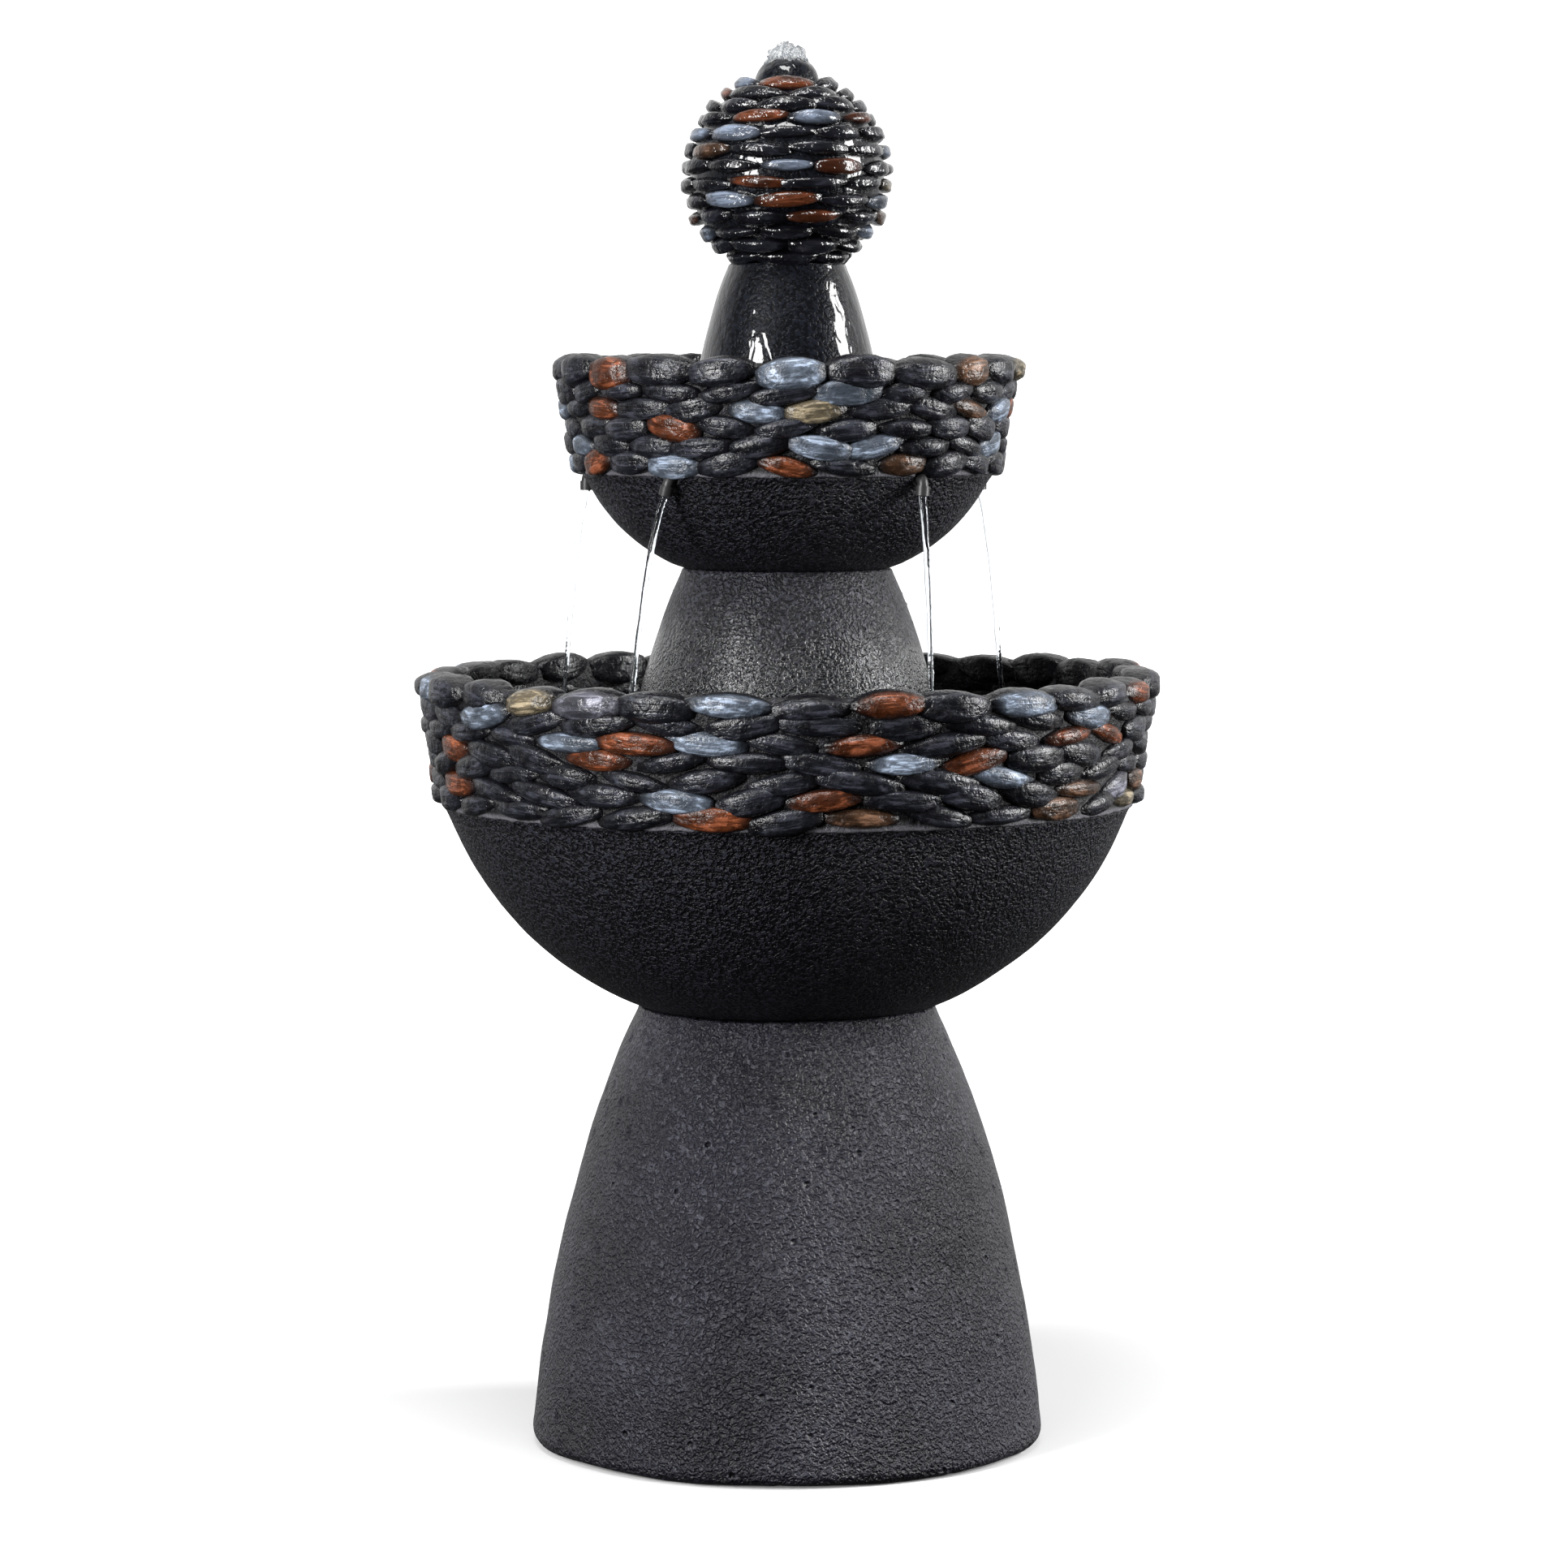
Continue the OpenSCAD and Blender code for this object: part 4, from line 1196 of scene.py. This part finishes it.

# %% [markdown]
# ### Painted pebbles
# Each stone has its colour from the course pattern. A nearly dry brush was dragged along it afterwards,
# so fine pale strokes follow the stone and gather on its crest, where they also serve as a painted
# highlight. The stone darkens towards the joints, partly the dark base coat that the brush missed and
# partly painted shade in the grooves. The dry and the wet stones share this paint; water only deepens it
# and lays a gloss over it.


# %% Pebble paint
def pebble_paint(finish, depth, glow):
    """The painted colour with its painted highlight and shade, the strokes and the crest of a stone."""
    tint = add_node(finish, "ShaderNodeAttribute", {}, attribute_name="tint").outputs["Color"]
    crest = add_node(finish, "ShaderNodeAttribute", {}, attribute_name="crest").outputs["Fac"]
    lengthwise = where(finish, (0.12, 1, 1), "strokes")
    strokes = noise(finish, lengthwise, 330, 3.0, 0.6, 0.3)
    blotch = noise(finish, where(finish, (0.5, 1, 1), "strokes"), 85, 3.0, 0.6)
    deep = mixed(finish, 1.0, tint, (depth, depth, depth, 1), "MULTIPLY")
    base = mixed(finish, levels(finish, blotch, 0.36, 0.64), deep, tint)
    bright = mixed(finish, 1.0, tint, (3.4, 3.4, 3.4, 1), "MULTIPLY")
    lit = mixed(finish, 0.02, bright, (0.8, 0.82, 0.86, 1))
    patches = levels(finish, blotch, 0.42, 0.56, 0.1, 1.0)
    # Pale strokes gather on the crest: partly dry-brushed paint, partly a painted highlight where light
    # catches the crest.
    share = math_of(finish, "MULTIPLY", levels(finish, strokes, 0.46, 0.62), levels(finish, crest, 0.45, 0.9))
    share = math_of(finish, "MULTIPLY", math_of(finish, "MULTIPLY", share, patches), glow)
    brushed = mixed(finish, share, base, lit)
    # Darker towards the joints where the stone meets the mortar: partly the dark base coat at its sides,
    # partly painted shade in the grooves.
    joint = levels(finish, crest, 0.22, 0.85)
    return mixed(finish, joint, paint(14, 14, 18), brushed), strokes, crest


# %% Dry pebbles and mortar
dry_pebbles, shader = new_finish("dry_pebbles", Roughness=0.3)
colour, strokes, crest = pebble_paint(dry_pebbles, 0.35, 0.85)
feed(dry_pebbles, shader, "Base Color", colour)
place = where(dry_pebbles)
pores = noise(dry_pebbles, place, 750, 2.0)
chips = noise(dry_pebbles, place, 150, 3.0, 0.6)
feed(dry_pebbles, shader, "Roughness", levels(dry_pebbles, chips, 0.3, 0.75, 0.2, 0.45))
relief(dry_pebbles, shader, [(chips, 0.0016), (strokes, 0.0007), (pores, 0.0001)])

mortar_finish, shader = new_finish("mortar_coat", Roughness=0.45)
place = where(mortar_finish)
lumps = noise(mortar_finish, place, 190, 4.0, 0.65)
# Painted highlight and shade: the lump tops are painted lighter and the hollows near black.
mortar = mixed(mortar_finish, levels(mortar_finish, lumps, 0.48, 0.7), paint(13, 13, 16), paint(50, 50, 58))
height = add_node(mortar_finish, "ShaderNodeSeparateXYZ", {0: place}).outputs[2]
# A pale band along each ledge: partly pale paint on the mortar's foot, partly a painted highlight where that
# shelf catches light.
for ledge_z in (lower_ledge_z, upper_ledge_z):
    off = math_of(mortar_finish, "ABSOLUTE", math_of(mortar_finish, "SUBTRACT", height, ledge_z), 0)
    near = levels(mortar_finish, off, 0.002, 0.006, 0.75, 0.0)
    mortar = mixed(mortar_finish, near, mortar, paint(112, 111, 118))
feed(mortar_finish, shader, "Base Color", mortar)
relief(mortar_finish, shader, [(lumps, 0.003)])

# %% Wet pebbles and wet mortar
wet_pebbles, shader = new_finish("wet_pebbles", Roughness=0.3, Specular_IOR_Level=0.15,
                                 Coat_Weight=1.0, Coat_Roughness=0.03)
colour, strokes, crest = pebble_paint(wet_pebbles, 0.35, 0.4)
feed(wet_pebbles, shader, "Base Color", mixed(wet_pebbles, 1.0, colour, (0.72, 0.72, 0.74, 1), "MULTIPLY"))
relief(wet_pebbles, shader, [(strokes, 0.0005)])
place = where(wet_pebbles)
film = noise(wet_pebbles, place, 230, 1.0, 0.5, 0.8)
beads = levels(wet_pebbles, cells(wet_pebbles, place, 260), 0.1, 0.45, 1.0, 0.0)
relief(wet_pebbles, shader, [(film, 0.0009), (beads, 0.0003)], "Coat Normal")

# %% [markdown]
# ### Water
# Clear water is a shader that lets light through, with the bend of water, 1.33, and no roughness. The
# gush is full of air, so it is rougher and partly white.

# %% Clear water and foam
clear_water, shader = new_finish("clear_water", Base_Color=(0.8, 0.84, 0.88, 1), Roughness=0.0, IOR=1.33,
                                 Transmission_Weight=1.0)
place = where(clear_water)
relief(clear_water, shader, [(noise(clear_water, place, 160, 2.0), 0.0006)])

foam_water, shader = new_finish("foam_water", Roughness=0.06, IOR=1.33, Transmission_Weight=0.7)
place = where(foam_water)
froth = noise(foam_water, place, 420, 3.0, 0.6)
feed(foam_water, shader, "Base Color",
     mixed(foam_water, levels(foam_water, froth, 0.42, 0.6), (0.42, 0.46, 0.5, 1), (1, 1, 1, 1)))
relief(foam_water, shader, [(froth, 0.0016)])


# %% [markdown]
# ### Plastics, rubber, metal and foam
# The elbows, the pump and the hose keep their CAD shapes. Moulded plastic has a faint spark texture and
# soft blotches, rubber is duller, ceramic is nearly smooth, steel is brushed round, and filter foam is
# all open cells.


# %% Moulded finishes
def moulded(name, colour, roughness, spark, depth, **sockets):
    """Moulded plastic or rubber: a spark-eroded skin and slow blotches of colour and gloss."""
    finish, shader = new_finish(name, **sockets)
    place = where(finish)
    skin = noise(finish, place, spark, 2.0)
    blotch = noise(finish, place, 40, 2.0)
    darker = mixed(finish, 1.0, colour, (0.7, 0.7, 0.7, 1), "MULTIPLY")
    feed(finish, shader, "Base Color", mixed(finish, levels(finish, blotch, 0.3, 0.7), darker, colour))
    feed(finish, shader, "Roughness", levels(finish, skin, 0.3, 0.7, roughness - 0.06, roughness + 0.1))
    relief(finish, shader, [(skin, depth)])
    return finish


nozzle_plastic = moulded("nozzle_plastic", paint(13, 13, 14), 0.22, 900, 0.00012, Coat_Weight=0.5)
black_rubber = moulded("black_rubber", paint(22, 22, 23), 0.6, 1500, 0.0001)
pump_plastic = moulded("pump_plastic", paint(30, 32, 35), 0.42, 1400, 0.00016)
impeller_plastic = moulded("impeller_plastic", paint(150, 152, 156), 0.35, 1400, 0.00008)
dial_plastic = moulded("dial_plastic", paint(82, 88, 96), 0.4, 1400, 0.0001)
shaft_ceramic = moulded("shaft_ceramic", paint(228, 226, 216), 0.15, 2200, 0.00003)
clear_vinyl = moulded("clear_vinyl", paint(196, 204, 206), 0.18, 700, 0.0001,
                      Transmission_Weight=0.75, IOR=1.5)

filter_foam, shader = new_finish("filter_foam", Roughness=0.95)
place = where(filter_foam)
pores = cells(filter_foam, place, 520)
# Painted shade: the hollows of the open cells are painted dark, and the struts between them lighter.
feed(filter_foam, shader, "Base Color",
     mixed(filter_foam, levels(filter_foam, pores, 0.25, 0.6), paint(24, 27, 31), paint(84, 92, 100)))
relief(filter_foam, shader, [(pores, 0.0012)])

clamp_steel, shader = new_finish("clamp_steel", Metallic=1.0, Roughness=0.3)
brushed = noise(clamp_steel, where(clamp_steel, (1, 1, 60)), 90, 3.0)
feed(clamp_steel, shader, "Base Color",
     mixed(clamp_steel, brushed, paint(150, 152, 156), paint(206, 208, 212)))
feed(clamp_steel, shader, "Roughness", levels(clamp_steel, brushed, 0.3, 0.7, 0.2, 0.42))
relief(clamp_steel, shader, [(brushed, 0.00006)])
print("finishes", len(bpy.data.materials))

# %% [markdown]
# ## Putting it together
# Each new piece gets its finish, hides the CAD nodes that it stands for, and rides on that node's body, so
# a lifted tier takes its stones and its water along. The jets ride on the elbows that they come from. What
# is left of the CAD model keeps its shape and only gets a finish.


# %% Pieces and their bodies
def fitted(piece, finish, body, slot, *nodes):
    piece.data.materials.clear()
    piece.data.materials.append(finish)
    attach(piece, body)
    if nodes:
        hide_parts(*nodes)


fitted(base, cast_stone, "base", "cast_stone", "base_pedestal")
fitted(lower_bowl, shaded_under_stone, "lower_tier", "cast_stone", "lower_bowl")
fitted(lower_stones, dry_pebbles, "lower_tier", "dry_pebbles", "lower_pebble_band")
fitted(lower_mortar, mortar_finish, "lower_tier", "cast_stone")
fitted(middle, splashed_stone, "middle_pedestal", "cast_stone", "mid_pedestal")
fitted(upper_bowl, shaded_under_stone, "upper_tier", "cast_stone", "upper_bowl")
fitted(upper_stones, dry_pebbles, "upper_tier", "dry_pebbles", "upper_pebble_band")
fitted(upper_mortar, mortar_finish, "upper_tier", "cast_stone")
fitted(neck, wet_stone, "neck_piece", "wet_stone", "neck")
fitted(ball, wet_stone, "ball", "wet_stone", "ball_shell")
fitted(ball_stones, wet_pebbles, "ball", "wet_pebbles", "ball_pebble_rings")
fitted(dome, wet_stone, "ball", "wet_stone", "spout_dome")
fitted(gush, foam_water, "ball", "water")
fitted(lower_water, clear_water, "lower_tier", "water")
fitted(upper_water, clear_water, "upper_tier", "water")
fitted(splashes, clear_water, "lower_tier", "water")
fitted(pedestal_drops, clear_water, "middle_pedestal", "water")
for i, jet in enumerate(jets):
    fitted(jet, clear_water, f"nozzle_elbow_{i + 1}", "water")

# %% Finishes of the kept CAD nodes
cad_finishes = (nozzle_plastic, black_rubber, pump_plastic, impeller_plastic, dial_plastic, shaft_ceramic,
                filter_foam, clear_vinyl, clamp_steel)
kept = {finish.name: finish for finish in cad_finishes}
for part in frame["record"]["subparts"]:
    finish = kept.get(part["material_slot"])
    if finish:
        node = frame["nodes"][part["node"]]
        node.data.materials.clear()
        node.data.materials.append(finish)
        print(part["node"], "in", finish.name)
